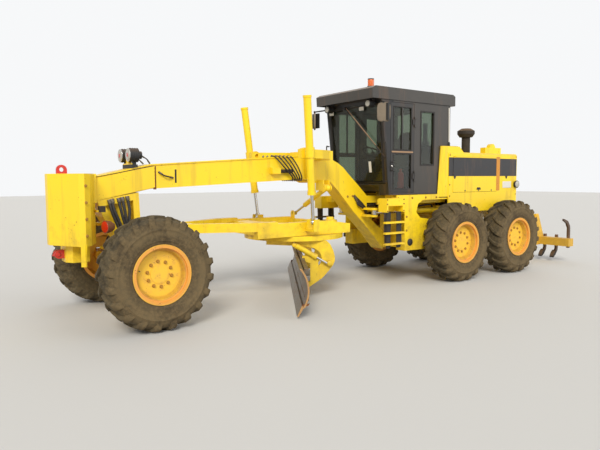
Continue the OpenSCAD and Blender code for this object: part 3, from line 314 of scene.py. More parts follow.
# Tan for the door rail; on the wiper's second arm it is a painted highlight, sun glint on black paint
TAN_TRIM_AND_GLINT = plain("tan_trim", rgb(170, 136, 104), 0.6, 0, 40, 0.3, 0.1, 0.3)
MIRROR_BACK = plain("mirror_back", rgb(126, 112, 94), 0.5, 0, 12, 0.4, 0.1, 0.3)
RED_PAINT = paint("tow_eye_red", EYE_RED, rgb(188, 62, 52), rough=0.45, dust=0.3, low=0)
TYRE = tyre_rubber()
CHROME = plain("rod_chrome", rgb(206, 204, 200), 0.14, 1, 80, 0.15, 0.05, 0.12)
BLADE_FACE = bare_steel("blade_worn_steel", rgb(128, 120, 106), 0.12, 0.5, ends=1.979)
RUSTED = bare_steel("ripper_rusty_steel", rgb(110, 88, 70), 0.95, 0.6)
ZINC = plain("bolt_zinc", rgb(112, 104, 92), 0.45, 0.7, 90, 0.4, 0.1, 0.3)
RUBBER = plain("hose_rubber", rgb(40, 37, 34), 0.6, 0, 120, 0.3, 0.15, 0.35)
PLASTIC = plain("black_plastic", rgb(38, 37, 37), 0.55, 0, 160, 0.3, 0.15, 0.25)
DARK = plain("engine_dark", rgb(60, 54, 48), 0.75, 0.2, 20, 0.5, 0.3, 0.5)
SEAT_CLOTH = plain("seat_cloth", rgb(92, 92, 90), 0.9, 0, 220, 0.5, 0.4, 0.2)
GLASS = window_glass()
WHITE = plain("blank_white", rgb(226, 222, 212), 0.5, 0, 60, 0.15, 0.05, 0.2)
RED_LENS = lens("lamp_red", rgb(196, 36, 22))
ORANGE_LENS = lens("lamp_orange", rgb(226, 104, 24))
CLEAR_LENS = lens("lamp_clear", rgb(176, 172, 160))


# Surfaces, each worked out as whole arrays
def grid_faces(rows, columns, round_rows=False, round_columns=True):
    """Four-cornered faces between neighbouring rows and columns of a grid of points."""
    i = np.arange(rows if round_rows else rows - 1)
    j = np.arange(columns if round_columns else columns - 1)
    i, j = np.meshgrid(i, j, indexing="ij")
    i2, j2 = (i + 1) % rows, (j + 1) % columns
    square = [i * columns + j, i * columns + j2, i2 * columns + j2, i2 * columns + j]
    return np.stack(square, -1).reshape(-1, 4)


def capped(rows, columns):
    """Faces of a closed skin: the grid's sides and one face on the first and on the last row."""
    row = np.arange(columns).reshape(1, -1)
    return [grid_faces(rows, columns), row[:, ::-1], row + (rows - 1) * columns]


def unit(vector):
    vector = np.asarray(vector, float)
    return vector / np.linalg.norm(vector, axis=-1, keepdims=True)


def across(axis):
    """Two unit vectors square to an axis and to each other."""
    axis = unit(axis)
    helper = np.array([0, 0, 1]) if abs(axis[2]) < 0.9 else np.array([1, 0, 0])
    first = unit(np.cross(helper, axis))
    return first, np.cross(axis, first)


def circle_round(axis, count):
    """Points of a unit circle square to an axis."""
    u, v = across(axis)
    angle = np.arange(count) * 2 * np.pi / count
    return np.cos(angle)[:, None] * u + np.sin(angle)[:, None] * v


def turned(profile, centre, axis, around):
    """A profile of (distance along the axis, radius) turned about that axis through the centre."""
    along, radius = np.asarray(profile, float).T.reshape(2, -1, 1, 1)
    points = np.asarray(centre) + along * unit(axis) + radius * circle_round(axis, around)
    return points.reshape(-1, 3), capped(len(profile), around)


def smooth_path(points, steps=8):
    """Catmull-Rom curve through the points: a cubic for each span, with a shared slope where two meet."""
    p = np.asarray(points, float)
    p = np.vstack([2 * p[0] - p[1], p, 2 * p[-1] - p[-2]])
    t = np.linspace(0, 1, steps, endpoint=False)[None, :, None]
    a, b, c, d = (p[k:len(p) - 3 + k][:, None, :] for k in range(4))
    square, cube = 2 * a - 5 * b + 4 * c - d, 3 * b - a - 3 * c + d
    curve = 0.5 * (2 * b + (c - a) * t + square * t ** 2 + cube * t ** 3)
    return np.vstack([curve.reshape(-1, 3), p[-2]])


def tube(points, radius, sides=10, steps=8):
    """A round section carried along a smooth path through the points."""
    path = smooth_path(points, steps) if steps > 1 else np.asarray(points, float)
    along = unit(np.gradient(path, axis=0))
    helper = np.eye(3)[np.argmin(np.abs(along).mean(axis=0))]
    u = unit(np.cross(along, helper))
    v = np.cross(along, u)
    angle = np.linspace(0, 2 * np.pi, sides, endpoint=False)
    ring = np.cos(angle)[None, :, None] * u[:, None, :] + np.sin(angle)[None, :, None] * v[:, None, :]
    return (path[:, None, :] + radius * ring).reshape(-1, 3), capped(len(path), sides)


def corners(a, b):
    """The corners of a rectangle between two pairs of limits, in order round it."""
    return [(a[0], b[0]), (a[1], b[0]), (a[1], b[1]), (a[0], b[1])]


def block(low, high):
    """A box between two corners, as four-sided rings carried from its bottom to its top."""
    (x0, y0, z0), (x1, y1, z1) = low, high
    ring = np.array(corners((x0, x1), (y0, y1)))
    points = np.concatenate([np.c_[ring, np.full(4, z)] for z in (z0, z1)])
    return points, capped(2, 4)


def plate(outline, start, depth, u, v):
    """A flat outline of (u, v) values carried straight through a depth vector."""
    outline, u, v = (np.asarray(values, float) for values in (outline, u, v))
    flat = np.asarray(start, float) + outline[:, :1] * u + outline[:, 1:] * v
    return np.concatenate([flat, flat + np.asarray(depth, float)]), capped(2, len(outline))


def many_faces(faces, count, step):
    """A shape's faces for so many copies whose points follow each other."""
    shift = (np.arange(count) * step).reshape(-1, 1, 1)
    return [(f[None] + shift).reshape(-1, f.shape[1]) for f in faces]


def repeated(shape, moves):
    """One small shape copied to each of the moves, an array of offsets."""
    points, faces = shape
    moves = np.asarray(moves, float).reshape(-1, 1, 3)
    return (points[None] + moves).reshape(-1, 3), many_faces(faces, len(moves), len(points))


def ring_of(count, radius, plane=(0, 2), start=0):
    """Offsets to a ring of places in the plane of two axes."""
    angle = np.arange(count) * 2 * np.pi / count + start
    spots = np.zeros((count, 3))
    spots[:, plane[0]], spots[:, plane[1]] = radius * np.cos(angle), radius * np.sin(angle)
    return spots


def bolts(centres, axis, across_flats, height):
    """Hexagon heads with a chamfered top on a round washer, one at each centre."""
    r = across_flats / 1.8
    head = turned([[0, r], [height * 0.75, r], [height, r * 0.82]], (0, 0, 0), axis, 6)
    washer = turned([[-4, r * 1.25], [3, r * 1.25]], (0, 0, 0), axis, 12)
    return [repeated(head, centres), repeated(washer, centres)]


class Piece:
    """One object in the scene: surfaces gathered as arrays, each with its material.
    Except in add, places are counted from the front axle and written for the left; side -1 mirrors them."""

    def __init__(self, name, body, side=1):
        self.name, self.body, self.side = name, body, side
        self.points, self.faces, self.which, self.materials = [], [], [], []
        self.count = 0

    def sides(self):
        """Left, then right: what is added meanwhile goes to that side."""
        for _, self.side in SIDES:
            yield self.side
        self.side = 1

    def way(self, vector):
        return np.asarray(vector, float) * [1, self.side, 1]

    def at(self, points):
        return from_axle(self.way(points))

    def box(self, x, y, z, material):
        """A block between two limits on each axis."""
        low, high = np.sort(self.at(np.stack([x, y, z], -1)), axis=0)
        self.add(block(low, high), material)

    def turn(self, profile, centre, axis, material, around=24):
        self.add(turned(profile, self.at(centre), self.way(axis), around), material)

    def sheet(self, outline, start, depth, material, u=AHEAD, v=UP):
        self.add(plate(outline, self.at(start), self.way(depth), self.way(u), self.way(v)), material)

    def pipe(self, points, radius, material, sides, steps):
        self.add(tube(self.at(points), radius, sides, steps), material)

    def heads(self, places, size, material, axis=OUT):
        """Bolts; the size is (across flats, height)."""
        self.add(bolts(self.at(places), self.way(axis), *size), material)

    def hose(self, points, radius=14):
        """A hose clamped at both ends, with a crimped collar and a nut at each."""
        path = self.at(points)
        self.add(tube(path, radius), RUBBER)
        for a, b in ((path[0], path[1]), (path[-1], path[-2])):
            along = unit(b - a)
            collar = [[0, radius * 1.3], [35, radius * 1.35], [45, radius * 1.05]]
            self.add(turned(collar, a, along, 12), ZINC)
            self.add(turned([[-14, radius * 1.5], [4, radius * 1.5]], a, along, 6), ZINC)

    def add(self, surface, material):
        """One surface, or a list of them, in millimetres from the model's origin."""
        if material not in self.materials:
            self.materials.append(material)
        for points, faces in surface if isinstance(surface, list) else [surface]:
            for f in faces:
                self.faces.append(np.asarray(f) + self.count)
                self.which.append(np.full(len(f), self.materials.index(material)))
            self.points.append(np.asarray(points))
            self.count += len(points)

    def done(self, replaces=(), sharp=38, bevel=0):
        """Makes the object, with each closed skin's faces looking outwards."""
        mesh = bpy.data.meshes.new(self.name)
        faces = [face for group in self.faces for face in group.tolist()]
        mesh.from_pydata((np.concatenate(self.points) / 1000).tolist(), [], faces)
        mesh.polygons.foreach_set("material_index", np.concatenate(self.which).astype(np.int32))
        mesh.validate()
        for material in self.materials:
            mesh.materials.append(material)
        work = bmesh.new()
        work.from_mesh(mesh)
        bmesh.ops.recalc_face_normals(work, faces=work.faces)
        work.to_mesh(mesh)
        work.free()
        mesh.shade_smooth()
        mesh.set_sharp_from_angle(angle=math.radians(sharp))
        thing = bpy.data.objects.new(self.name, mesh)
        bpy.context.scene.collection.objects.link(thing)
        if bevel:
            edge = thing.modifiers.new("edges", "BEVEL")
            edge.width, edge.segments, edge.limit_method = bevel / 1000, 2, "ANGLE"
            edge.angle_limit = math.radians(40)
        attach(thing, self.body)
        if replaces:
            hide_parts(*replaces)
        return thing


# Camera where the photograph was taken
EYE = from_axle([2516, 7367, 1771]) / 1000
YAW, PITCH, ROLL = math.radians(35.95), math.radians(4.67), math.radians(0.25)
FOCAL_PX, WIDTH_PX, SENSOR_MM = 569.7, 600, 36
FLOOR_HALF = 60


def aimed(name, data, right, up, ahead, place):
    """A camera or lamp at a place, looking ahead, added to the scene."""
    thing = bpy.data.objects.new(name, data)
    thing.matrix_world = Matrix([[right[k], up[k], -ahead[k], place[k]] for k in range(3)] + [[0, 0, 0, 1]])
    bpy.context.scene.collection.objects.link(thing)
    return thing


def make_camera():
    ahead = np.array([-math.sin(YAW) * math.cos(PITCH), -math.cos(YAW) * math.cos(PITCH), -math.sin(PITCH)])
    right = unit(np.cross(ahead, UP))
    up = np.cross(right, ahead)
    c, s = math.cos(ROLL), math.sin(ROLL)
    optics = bpy.data.cameras.new("camera")
    optics.sensor_width = SENSOR_MM
    optics.lens = FOCAL_PX / WIDTH_PX * SENSOR_MM
    optics.clip_end = 200
    bpy.context.scene.camera = aimed("camera", optics, c * right - s * up, s * right + c * up, ahead, EYE)


def make_light():
    """A pale room: a world that lights softly but is seen and mirrored white, and three wide suns."""
    world = bpy.data.worlds.new("studio")
    bpy.context.scene.world = world
    t = Tree(world, "OutputWorld")
    lit = t.node("Background", {0: (0.9, 0.92, 0.95), 1: 0.5})
    seen = t.node("Background", {0: (0.93, 0.94, 0.95), 1: 1})
    eye, through, mirror = (t.node("LightPath", out="Is %s Ray" % kind)
                            for kind in ("Camera", "Transmission", "Glossy"))
    t.show(t.node("MixShader", {0: eye.most(through).most(mirror), 1: lit, 2: seen}))
    for name, place, spread, power, colour in (
            ("key", (8, 9.5, 9), 22, 2.5, (1, 0.96, 0.88)),
            ("fill", (-6, 9, 5), 60, 0.7, (0.92, 0.96, 1)),
            ("rim", (-6, -9, 8), 60, 0.5, (1, 1, 1))):
        lamp = bpy.data.lights.new(name, "SUN")
        lamp.angle, lamp.energy, lamp.color = math.radians(spread), power, colour
        ahead = unit(-np.array(place))
        aimed(name, lamp, *across(ahead), ahead, place)


def make_floor():
    t = Tree("floor_pale")
    finish = t.surface(Base_Color=rgb(205, 203, 199), Roughness=0.9 - t.noise(2) * 0.05)
    mesh = bpy.data.meshes.new("floor")
    limits = (-FLOOR_HALF, FLOOR_HALF)
    mesh.from_pydata([(x, y, 0) for x, y in corners(limits, limits)], [], [(0, 1, 2, 3)])
    mesh.materials.append(finish)
    floor = bpy.data.objects.new("floor", mesh)
    bpy.context.scene.collection.objects.link(floor)


def dress_nodes():
    """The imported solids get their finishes, by the first name that fits."""
    rims = [(rim_coat("rim_paint_%s" % row, middle_x("rim_%s_left" % row)), "rim_%s" % row) for row in ROWS]
    finishes = rims + [
        (TYRE, "tyre"), (GLASS, "cab_glass door_glass"), (DOOR_PAINT, "cab_door"),
        (CAB_PAINT, "cab_shell cab_roof"),
        (PLASTIC, "cab_fittings cab_interior headlamps"), (DARK, "stacks engine"),
        (HOOD_PAINT, "hood"), (NOSE_PAINT, "nose"), (STEP_PAINT, "ladders"), (RIPPER_PAINT, "ripper_beam"),
        (BLADE_FACE, "moldboard"), (CHROME, "lean_bar lift_rod frame_rod shift_rod steer_rod ripper_rod")]
    for name, thing in NODES.items():
        fits = (finish for finish, starts in finishes if name.startswith(tuple(starts.split())))
        finish = next(fits, YELLOW)
        thing.data.materials.clear()
        thing.data.materials.append(finish)


# Wheels
LUGS, NUTS, NUT_FACE = 20, 10, 92.2


def tyre_carcass(centre, out):
    """The tyre's section turned about the axle: crown, rounded shoulders, ribbed side walls and beads."""
    half = np.array([
        [0, 642], [60, 641], [110, 637], [150, 629], [180, 614], [200, 592], [213, 562], [217.5, 530],
        [220.5, 528], [220.5, 520], [218.5, 518], [219.5, 490], [217, 460], [211, 430], [203, 405],
        [203, 397], [197, 392], [190, 372], [183.5, 354], [178, 338], [165, 333]])
    inner = [[165, 390], [150, 560], [-150, 560], [-165, 390]]
    section = np.vstack([half[::-1] * [-1, 1], half[1:], inner])
    points, _ = turned(section, centre, (0, out, 0), 96)
    return points, [grid_faces(len(section), 96, round_rows=True)]


def tyre_lugs(centre):
    """Bars from beside the middle round each shoulder, a small section carried along a slanted path."""
    lateral = np.array([6, 40, 80, 120, 160, 190, 208, 217, 219.5])
    top = np.array([675, 675, 674, 671, 664, 652, 634, 608, 578])
    low = np.array([638, 638, 636, 630, 618, 598, 584, 568, 556])
    slant = np.radians([0, 3, 5.6, 7.8, 9.4, 10.4, 11, 11.5, 11.8])
    wide = np.radians([1.9, 2.15, 2.35, 2.55, 2.9, 3.3, 3.4, 3.1, 2.6])
    side = np.array([-1.25, -0.98, -0.84, 0.84, 0.98, 1.25])
    depth = np.array([0, 0.86, 1, 1, 0.86, 0])
    lateral[-1] -= 4
    angle = slant[:, None] + wide[:, None] * side
    radius = low[:, None] + (top - low)[:, None] * depth
    pitch = 2 * np.pi / LUGS
    shells = []
    for hand, start in ((1, 0), (-1, pitch / 2)):
        a = (start + np.arange(LUGS) * pitch)[:, None, None] + angle
        y = np.broadcast_to(hand * lateral[:, None], a.shape)
        points = np.stack([radius * np.sin(a), y, radius * np.cos(a)], -1).reshape(-1, 3) + centre
        shells.append((points, many_faces(capped(*angle.shape), LUGS, angle.size)))
    return shells


def make_wheels():
    """Each wheel's tyre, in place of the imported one; its nuts, the rolled edge of its rim and its valve."""
    lip = [[186.5, 344], [192.5, 352], [197, 353], [198.5, 349], [196.5, 343], [190, 339]]
    for row in ROWS:
        for side, out in SIDES:
            wheel = "%s_%s" % (row, side)
            centre = np.array([1000 * middle_x("rim_" + wheel), out * TRACK_HALF, TYRE_R])
            tread = Piece("tyre_%s_tread" % wheel, "wheel_" + wheel)
            tread.add(tyre_carcass(centre, out), TYRE)
            tread.add(tyre_lugs(centre), TYRE)
            tread.done(replaces=["tyre_" + wheel], sharp=50)
            piece = Piece("wheel_nuts_" + wheel, "wheel_" + wheel)
            ring = ring_of(NUTS, 150 if row == "front" else 165, start=0.2)
            piece.add(bolts(centre + [0, out * NUT_FACE, 0] + ring, (0, out, 0), 32, 22), NUT_PAINT)
            points, _ = turned(lip, centre, (0, out, 0), 64)
            piece.add((points, [grid_faces(len(lip), 64, round_rows=True)]), RIM_PAINT)
            stem = centre + [[244, out * y, z] for y, z in ((90, 56), (120, 56))]
            end = centre + [252, out * 142, 58]
            piece.add(tube([*stem, end], 6, 8, 4), ZINC)
            piece.done()


# Front frame
def make_nose():
    """Bolts and lips of the nose's side strips, side lamps on brackets, pin and bow of the lower eye."""
    piece = Piece("nose_trim", "front_unit")
    lip = [[657, 735], [650, 735], [645, 800], [636, 900], [628, 990], [628, 1010], [657, 1010]]
    shell = [[-100, 20], [-85, 45], [-50, 66], [0, 78], [30, 80], [34, 76]]
    cover = [[20, 72], [36, 70], [44, 50], [47, 20]]
    lamp, facing = (345, 345, 1190), unit([1, 0.3, 0])
    for _ in piece.sides():
        piece.heads([[625, 499.5, z] for z in (1697, 1499, 1304, 1106)], (26, 10), NUT_PAINT)
        piece.sheet(lip, (0, 484, 0), (0, 15.5, 0), YELLOW)
        piece.turn(shell, lamp, facing, RUSTED, 32)
        piece.turn(cover, lamp, facing, RED_LENS, 32)
        piece.box((270, 310), (140, 330), (1170, 1210), YELLOW)
        piece.box((425, 450), (140, 300), (1370, 1395), YELLOW)
    piece.box((350, 425), (262, 330), (1370, 1445), DARK)
    eye = np.array([855, 0, 858])
    piece.turn([[-62, 23], [-58, 24.5], [58, 24.5], [62, 23]], eye, OUT, RED_PAINT, 20)
    a = np.linspace(-0.3, np.pi + 0.3, 15)
    bow = eye + np.stack([62 * np.sin(a) - 12, 50 * np.cos(a), -12 * np.sin(a)], -1)
    piece.pipe(bow, 9.5, RED_PAINT, 10, 2)
    piece.done(bevel=3)


def make_headlamps():
    """Rims, lenses, cooling fins and cables of the two headlamps, and their bracket."""
    piece = Piece("headlamp_glass", "front_unit")
    lamp = (-12, 150, 2080)
    rim = [[-10, 86], [4, 88], [9, 84], [6, 78]]
    cover = [[-4, 80], [6, 76], [12, 55], [14.5, 30], [15, 8]]
    fin = np.array([[-30, 90], [-26, 93], [-20, 90]])
    for _ in piece.sides():
        piece.turn(rim, lamp, AHEAD, CHROME, 36)
        piece.turn(cover, lamp, AHEAD, CLEAR_LENS, 36)
        piece.turn([[6, 30], [16.5, 28], [18, 12]], lamp, AHEAD, RED_LENS, 20)
        for k in range(4):
            piece.turn(fin - [30 * k, 0], lamp, AHEAD, PLASTIC, 30)
        piece.hose([[-190, 150, 2070], [-260, 140, 2030], [-300, 120, 1985]], 8)
    piece.box((-90, -50), (-50, 50), (1962, 2130), YELLOW)
    piece.box((-100, -45), (-160, 160), (1955, 1975), YELLOW)
    piece.done(bevel=3)


def make_beam_trim():
    """Hoses, a dark strip at each seam painted as the shadow in its gap, valves, bolts and edge strips on the
    beam's sides, and a weld bead on each seam.
    """
    piece = Piece("beam_lines", "front_unit")
    y = 158
    ends = ((250, 100), (215, 60), (130, 0), (85, -30), (20, -60))
    spool = [[0, 34], [20, 34], [30, 28], [200, 28], [210, 33], [235, 30]]
    strip = [[480, 1790], [-340, 1947], [-340, 1940], [480, 1783]]
    for _ in piece.sides():
        for k, (x0, x1) in enumerate(ends):
            bow = 50 + 12 * (k % 2)
            piece.hose([[x0, y, 1500 + 10 * k], [x0 - 15, y + bow * 0.6, 1380],
                        [x1 + 70, y + bow * 0.7, 1200], [x1, y + 20, 1050], [x1 - 20, 130, 970]], 19)
        # A rusty steel strip at the seam: painted shadow of the gap between the beam's sections
        piece.box((-375, -335), (149, 156), (1635, 1940), RUSTED)
        piece.hose([[-420, y, 1860], [-470, 188, 1820], [-540, 193, 1800], [-600, y, 1790]], 10)
        piece.box((-665, -640), (145, 153), (1720, 1900), RUBBER)
        piece.box((-2310, -2160), (148, 230), (1840, 1930), YELLOW)
        piece.turn(spool, (-2310, 190, 1883), BACK, DARK, 20)
        for k in range(5):
            x = -2220 - 75 * k
            piece.hose([[x, 120, 2112], [x - 30, 180, 2090], [x - 140 + 10 * k, 235, 1950],
                        [x - 300 + 30 * k, 225, 1800], [x - 370 + 35 * k, 140, 1745]], 10.5)
        piece.heads([[-3700, 150.5, 1468], [-3810, 150.5, 1474]], (30, 12), NUT_PAINT)
        piece.sheet(strip, (0, 162.5, 0), (0, 4, 0), RUBBER)
    piece.done(bevel=2)
    welds = Piece("beam_welds", "front_unit")
    for _ in welds.sides():
        high, low = welds.at([[-350, y, 1940], [-350, y, 1665]])
        welds.add(weld(high, low, 6), YELLOW)
    welds.done()


def weld(a, b, radius):
    """A weld bead: a tube whose radius ripples along a straight line."""
    count = max(int(np.linalg.norm(b - a) / 12), 4)
    path = a + (b - a) * np.linspace(0, 1, count)[:, None]
    swell = radius * (1 + 0.22 * np.sin(np.arange(count) * 1.9))[:, None, None]
    return (path[:, None, :] + swell * circle_round(b - a, 8)).reshape(-1, 3), capped(count, 8)


# Drawbar, circle, blade and front axle
def make_drawbar_trim():
    """The bolted cover over the circle's gear, and bolts on the lift balls' caps."""
    piece = Piece("circle_drive", "drawbar")
    base = np.array([-3200, 300, 1070])
    cover = [[0, 110], [12, 115], [30, 115], [36, 90], [50, 86], [56, 60], [85, 58], [90, 50]]
    piece.turn(cover, base, UP, YELLOW, 36)
    piece.heads(base + [0, 0, 30] + ring_of(8, 100, (0, 1)), (22, 14), ZINC, UP)
    for _ in piece.sides():
        piece.heads([[-2510 + dx, 620, 1030.5] for dx in (-45, 45)], (30, 20), ZINC, UP)
    piece.done(bevel=2)


def blade_place(points):
    """Points of the blade's own frame, y along the blade, turned by its angle about the circle's middle."""
    x, y, z = np.asarray(points, float).reshape(-1, 3).T
    c, s = math.cos(BLADE_YAW), math.sin(BLADE_YAW)
    return from_axle(np.stack([x * c + y * s + CIRCLE_X, y * c - x * s, z], -1))


def blade_way(vector):
    """A direction of the blade's own frame, turned by the same angle."""
    return (blade_place(vector) - blade_place([0, 0, 0]))[0]


def make_blade():
    """Bolts of the cutting edge and end ribs; pins, bolts and short cylinders on the circle's arms."""
    ahead = unit(blade_way(AHEAD))
    piece = Piece("blade_bolts", "moldboard")
    arms = Piece("circle_arm_bolts", "circle")
    y = np.r_[-1880, -1720, np.linspace(-1500, 1500, 17), 1720, 1880]
    spots = blade_place(np.stack([np.full_like(y, -13.5), y, np.full_like(y, 118)], -1))
    piece.add(bolts(spots, unit(ahead * 0.86 + [0, 0, 0.5]), 26, 6), RUSTED)
    rib = [[-118, 200], [-100, 170], [-20, 160], [-30, 190]]
    for _, s in SIDES:
        start = blade_place([0, 1960 * s, 0])[0]
        piece.add(plate(rib, start, blade_way([0, 18 * s, 0]), ahead, UP), RUSTED)
        out = unit(blade_way([0, s, 0]))
        spots = blade_place([-290, 650.5 * s, 330] + ring_of(4, 50, start=0.6))
        arms.add(bolts(spots, out, 20, 10), ZINC)
        pin = blade_place([-290, 650 * s, 330])[0]
        arms.add(turned([[0, 36], [14, 36], [18, 30]], pin, out, 24), YELLOW)
        tilt_cylinder(arms, s, out)
    piece.done()
    arms.done(bevel=2)


def tilt_cylinder(piece, s, out):
    """The short cylinder on the outer face of the arm: barrel with end caps, bright rod and its eyes."""
    a, b, c = blade_place([[0, 705 * s, 790], [-310, 705 * s, 610], [-500, 705 * s, 520]])
    along = unit(b - a)
    barrel, rod = np.linalg.norm(b - a), np.linalg.norm(c - a)
    profile = [[0, 36], [10, 44], [50, 44], [55, 41], [barrel - 50, 41],
               [barrel - 45, 47], [barrel - 5, 47], [barrel, 42]]
    piece.add(turned(profile, a, along, 28), YELLOW)
    piece.add(turned([[barrel - 10, 17], [rod - 20, 17]], a, along, 20), CHROME)
    for end in (a - along * 20, c):
        piece.add(turned([[-55, 28], [-50, 36], [20, 36], [24, 30]], end, out, 24), YELLOW)


def make_axle_trim():
    """Hoses on the front axle, the bolts of its middle pin, and the caps of the lean pins."""
    piece = Piece("front_axle_lines", "front_unit")
    for _ in piece.sides():
        piece.hose([[-190, 130, 500], [-235, 160, 560], [-200, 200, 720], [-120, 160, 930]], 11)
        piece.hose([[200, 120, 820], [235, 140, 880], [200, 130, 1000], [160, 120, 1050]], 11)
    piece.heads([112, 0, 800] + ring_of(6, 52, (1, 2)), (22, 12), ZINC, AHEAD)
    piece.done()
    for side, s in SIDES:
        caps = Piece("lean_pin_cap_%s" % side, "lean_%s" % side, s)
        centre = (112, 700, 615)
        caps.turn([[-2, 44], [8, 44], [12, 36]], centre, AHEAD, YELLOW)
        spots = caps.at(centre) + [[10, 20, 20], [10, -20, -20]]
        caps.add(bolts(spots, AHEAD, 16, 8), ZINC)
        caps.done()


# Cab
CAB_SIDE_Y, FLOOR = 700, 1570
SCREEN_FOOT, SCREEN_SLOPE, SCREEN_NORMAL_Z = -4094, -180 / 1535, -0.117


def frame_strip(outline, width, depth, axis):
    """A gasket: a rectangular section carried round a closed flat outline, standing out along the axis."""
    p = np.asarray(outline, float)
    middle = p.mean(axis=0)
    inner = p + (middle - p) * (width / np.abs(p - middle).max(axis=0).clip(1e-6)).clip(0, 0.9)
    out = np.asarray(axis, float) * depth
    rings = np.stack([p, p + out, inner + out, inner])
    return rings.reshape(-1, 3), [grid_faces(4, len(p), round_rows=True)]


def side_gasket(piece, x, z, width, depth):
    """A gasket round a window in the cab's side, between limits on x and z."""
    outline = piece.at([[a, CAB_SIDE_Y, b] for a, b in corners(x, z)])
    piece.add(frame_strip(outline, width, depth, piece.way(OUT)), RUBBER)


def screen_plane(y, z, out=0):
    """A point on the sloping windscreen, moved out along its normal."""
    return [SCREEN_FOOT - SCREEN_SLOPE * (z - 1675) + out, y, z + out * SCREEN_NORMAL_Z]


def add_mirror(piece):
    """A mirror: its rounded back in two shells, and its glass."""
    a = np.arange(24) * np.pi / 12
    back = np.stack([np.cos(a), np.sin(a)], -1)
    back = np.sign(back) * np.abs(back) ** 0.5 * [105, 148]
    hub, facing = np.array([-3800, 885, 2795]), np.array([0.8, 0.6, 0])
    for shrink, start, thick in ((1, -20, 20), (0.93, 0, 12)):
        piece.sheet(back * shrink, hub + facing * start, facing * thick, MIRROR_BACK, (-0.6, 0.8, 0))
    glass = [[10, 12], [140, 12], [150, 30], [150, 210], [140, 228], [10, 228], [0, 210], [0, 30]]
    piece.sheet(glass, (-3850.5, 805, 2680), (-3, 0, 0), CHROME, OUT)


def make_cab_trim():
    """Gaskets, work lamps, mirrors, handrails and vents; then blank labels, wiper with a painted highlight on
    one arm, aerial and beacon.
    """
    piece = Piece("cab_trim", "rear_unit")
    screen = [screen_plane(y, z) for y, z in corners((-638, 638), (1685, 2970))]
    piece.add(frame_strip(from_axle(screen), 28, 12, AHEAD), RUBBER)
    lamp, glass = (-3798, 520, 2968), [[-12, 58], [3, 56], [8, 40], [10, 12]]
    rail = [[-4030, 700, 1720], [-4030, 735, 1720], [-4020, 760, 1760], [-3980, 760, 2300],
            [-3990, 735, 2340], [-3990, 700, 2340]]
    for _ in piece.sides():
        side_gasket(piece, (-5190, -4840), (1980, 2900), 24, 6)
        piece.turn(glass, lamp, AHEAD, CLEAR_LENS, 28)
        piece.turn([[-20, 62], [2, 64.5], [5, 58]], lamp, AHEAD, PLASTIC, 28)
        add_mirror(piece)
        piece.pipe(rail, 11, PLASTIC, 10, 5)
        for x in np.linspace(-5450, -5300, 4):
            piece.box((x, x + 22), (699, 706), (1720, 1860), RUBBER)
    for y, z, w, h in ((-550, 2910, 60, 35), (230, 2920, 55, 30), (330, 1960, 30, 90)):
        flat = from_axle([screen_plane(a, b, 23.5) for a, b in corners((y - w, y + w), (z - h, z + h))])
        piece.add((np.concatenate([flat, flat + [1, 0, 0]]), capped(2, 4)), WHITE)
    base, tip = from_axle([screen_plane(-170, 2960, 34), screen_plane(490, 2310, 22)])
    arm, normal = unit(tip - base), (1, 0, SCREEN_NORMAL_Z)
    piece.add(turned([[-20, 26], [20, 26], [30, 16]], base, normal, 16), PLASTIC)
    # Two parallel arms: one black, one tan as a painted highlight for sun glint on its black paint
    for aside, finish in ((0, PLASTIC), (35, TAN_TRIM_AND_GLINT)):
        path = [base + [0, aside, 0], base + arm * 300 + [6, aside, 0], tip + [0, aside * 0.3, 0]]
        piece.add(tube(path, 6.5, 8, 6), finish)
    blade = unit(np.cross(arm, normal)) * 12 + arm * 280
    back = tip - [10, 0, 0]
    piece.add(tube([back - blade, back + blade], 8, 8, 4), RUBBER)
    piece.pipe([[-5712, -600, 3060], [-5712, 600, 3060]], 6, RUBBER, 8, 3)
    aerial = [[-5570, 700, 2360], [-5572, 706, 2400], [-5566, 707, 2700], [-5560, 706, 2990]]
    piece.pipe(aerial, 11, WHITE, 10, 6)
    piece.turn([[0, 20], [50, 20], [70, 10]], (-5570, 706, 2330), UP, PLASTIC, 16)
    beacon = np.array([-4070, 300, 3262])
    spots = [beacon + [50 * math.cos(a), 50 * math.sin(a), 23] for a in (0, 2.09, 4.18)]
    piece.heads(spots, (14, 6), ZINC, UP)
    dome = [[0, 53], [10, 53.5], [125, 53.5], [140, 50], [148.5, 35], [149, 12]]
    piece.turn(dome, beacon, UP, ORANGE_LENS, 32)
    piece.done(bevel=1.5)


def make_doors():
    """Gaskets, a rail, the upper window's bar and a latch on each cab door."""
    for side, s in SIDES:
        piece = Piece("cab_door_%s_trim" % side, "cab_door_%s" % side, s)
        for z in ((1586, 2178), (2222, 2939)):
            side_gasket(piece, (-4629, -4196), z, 18, 5)
        piece.box((-4660, -4165), (700, 708), (2188, 2212), TAN_TRIM_AND_GLINT)
        piece.box((-4420, -4395), (680, 704), (2222, 2939), DOOR_PAINT)
        piece.turn([[-10, 22], [12, 22], [18, 16]], (-4180, 700, 1960), OUT, CHROME, 20)
        piece.done(bevel=1.5)


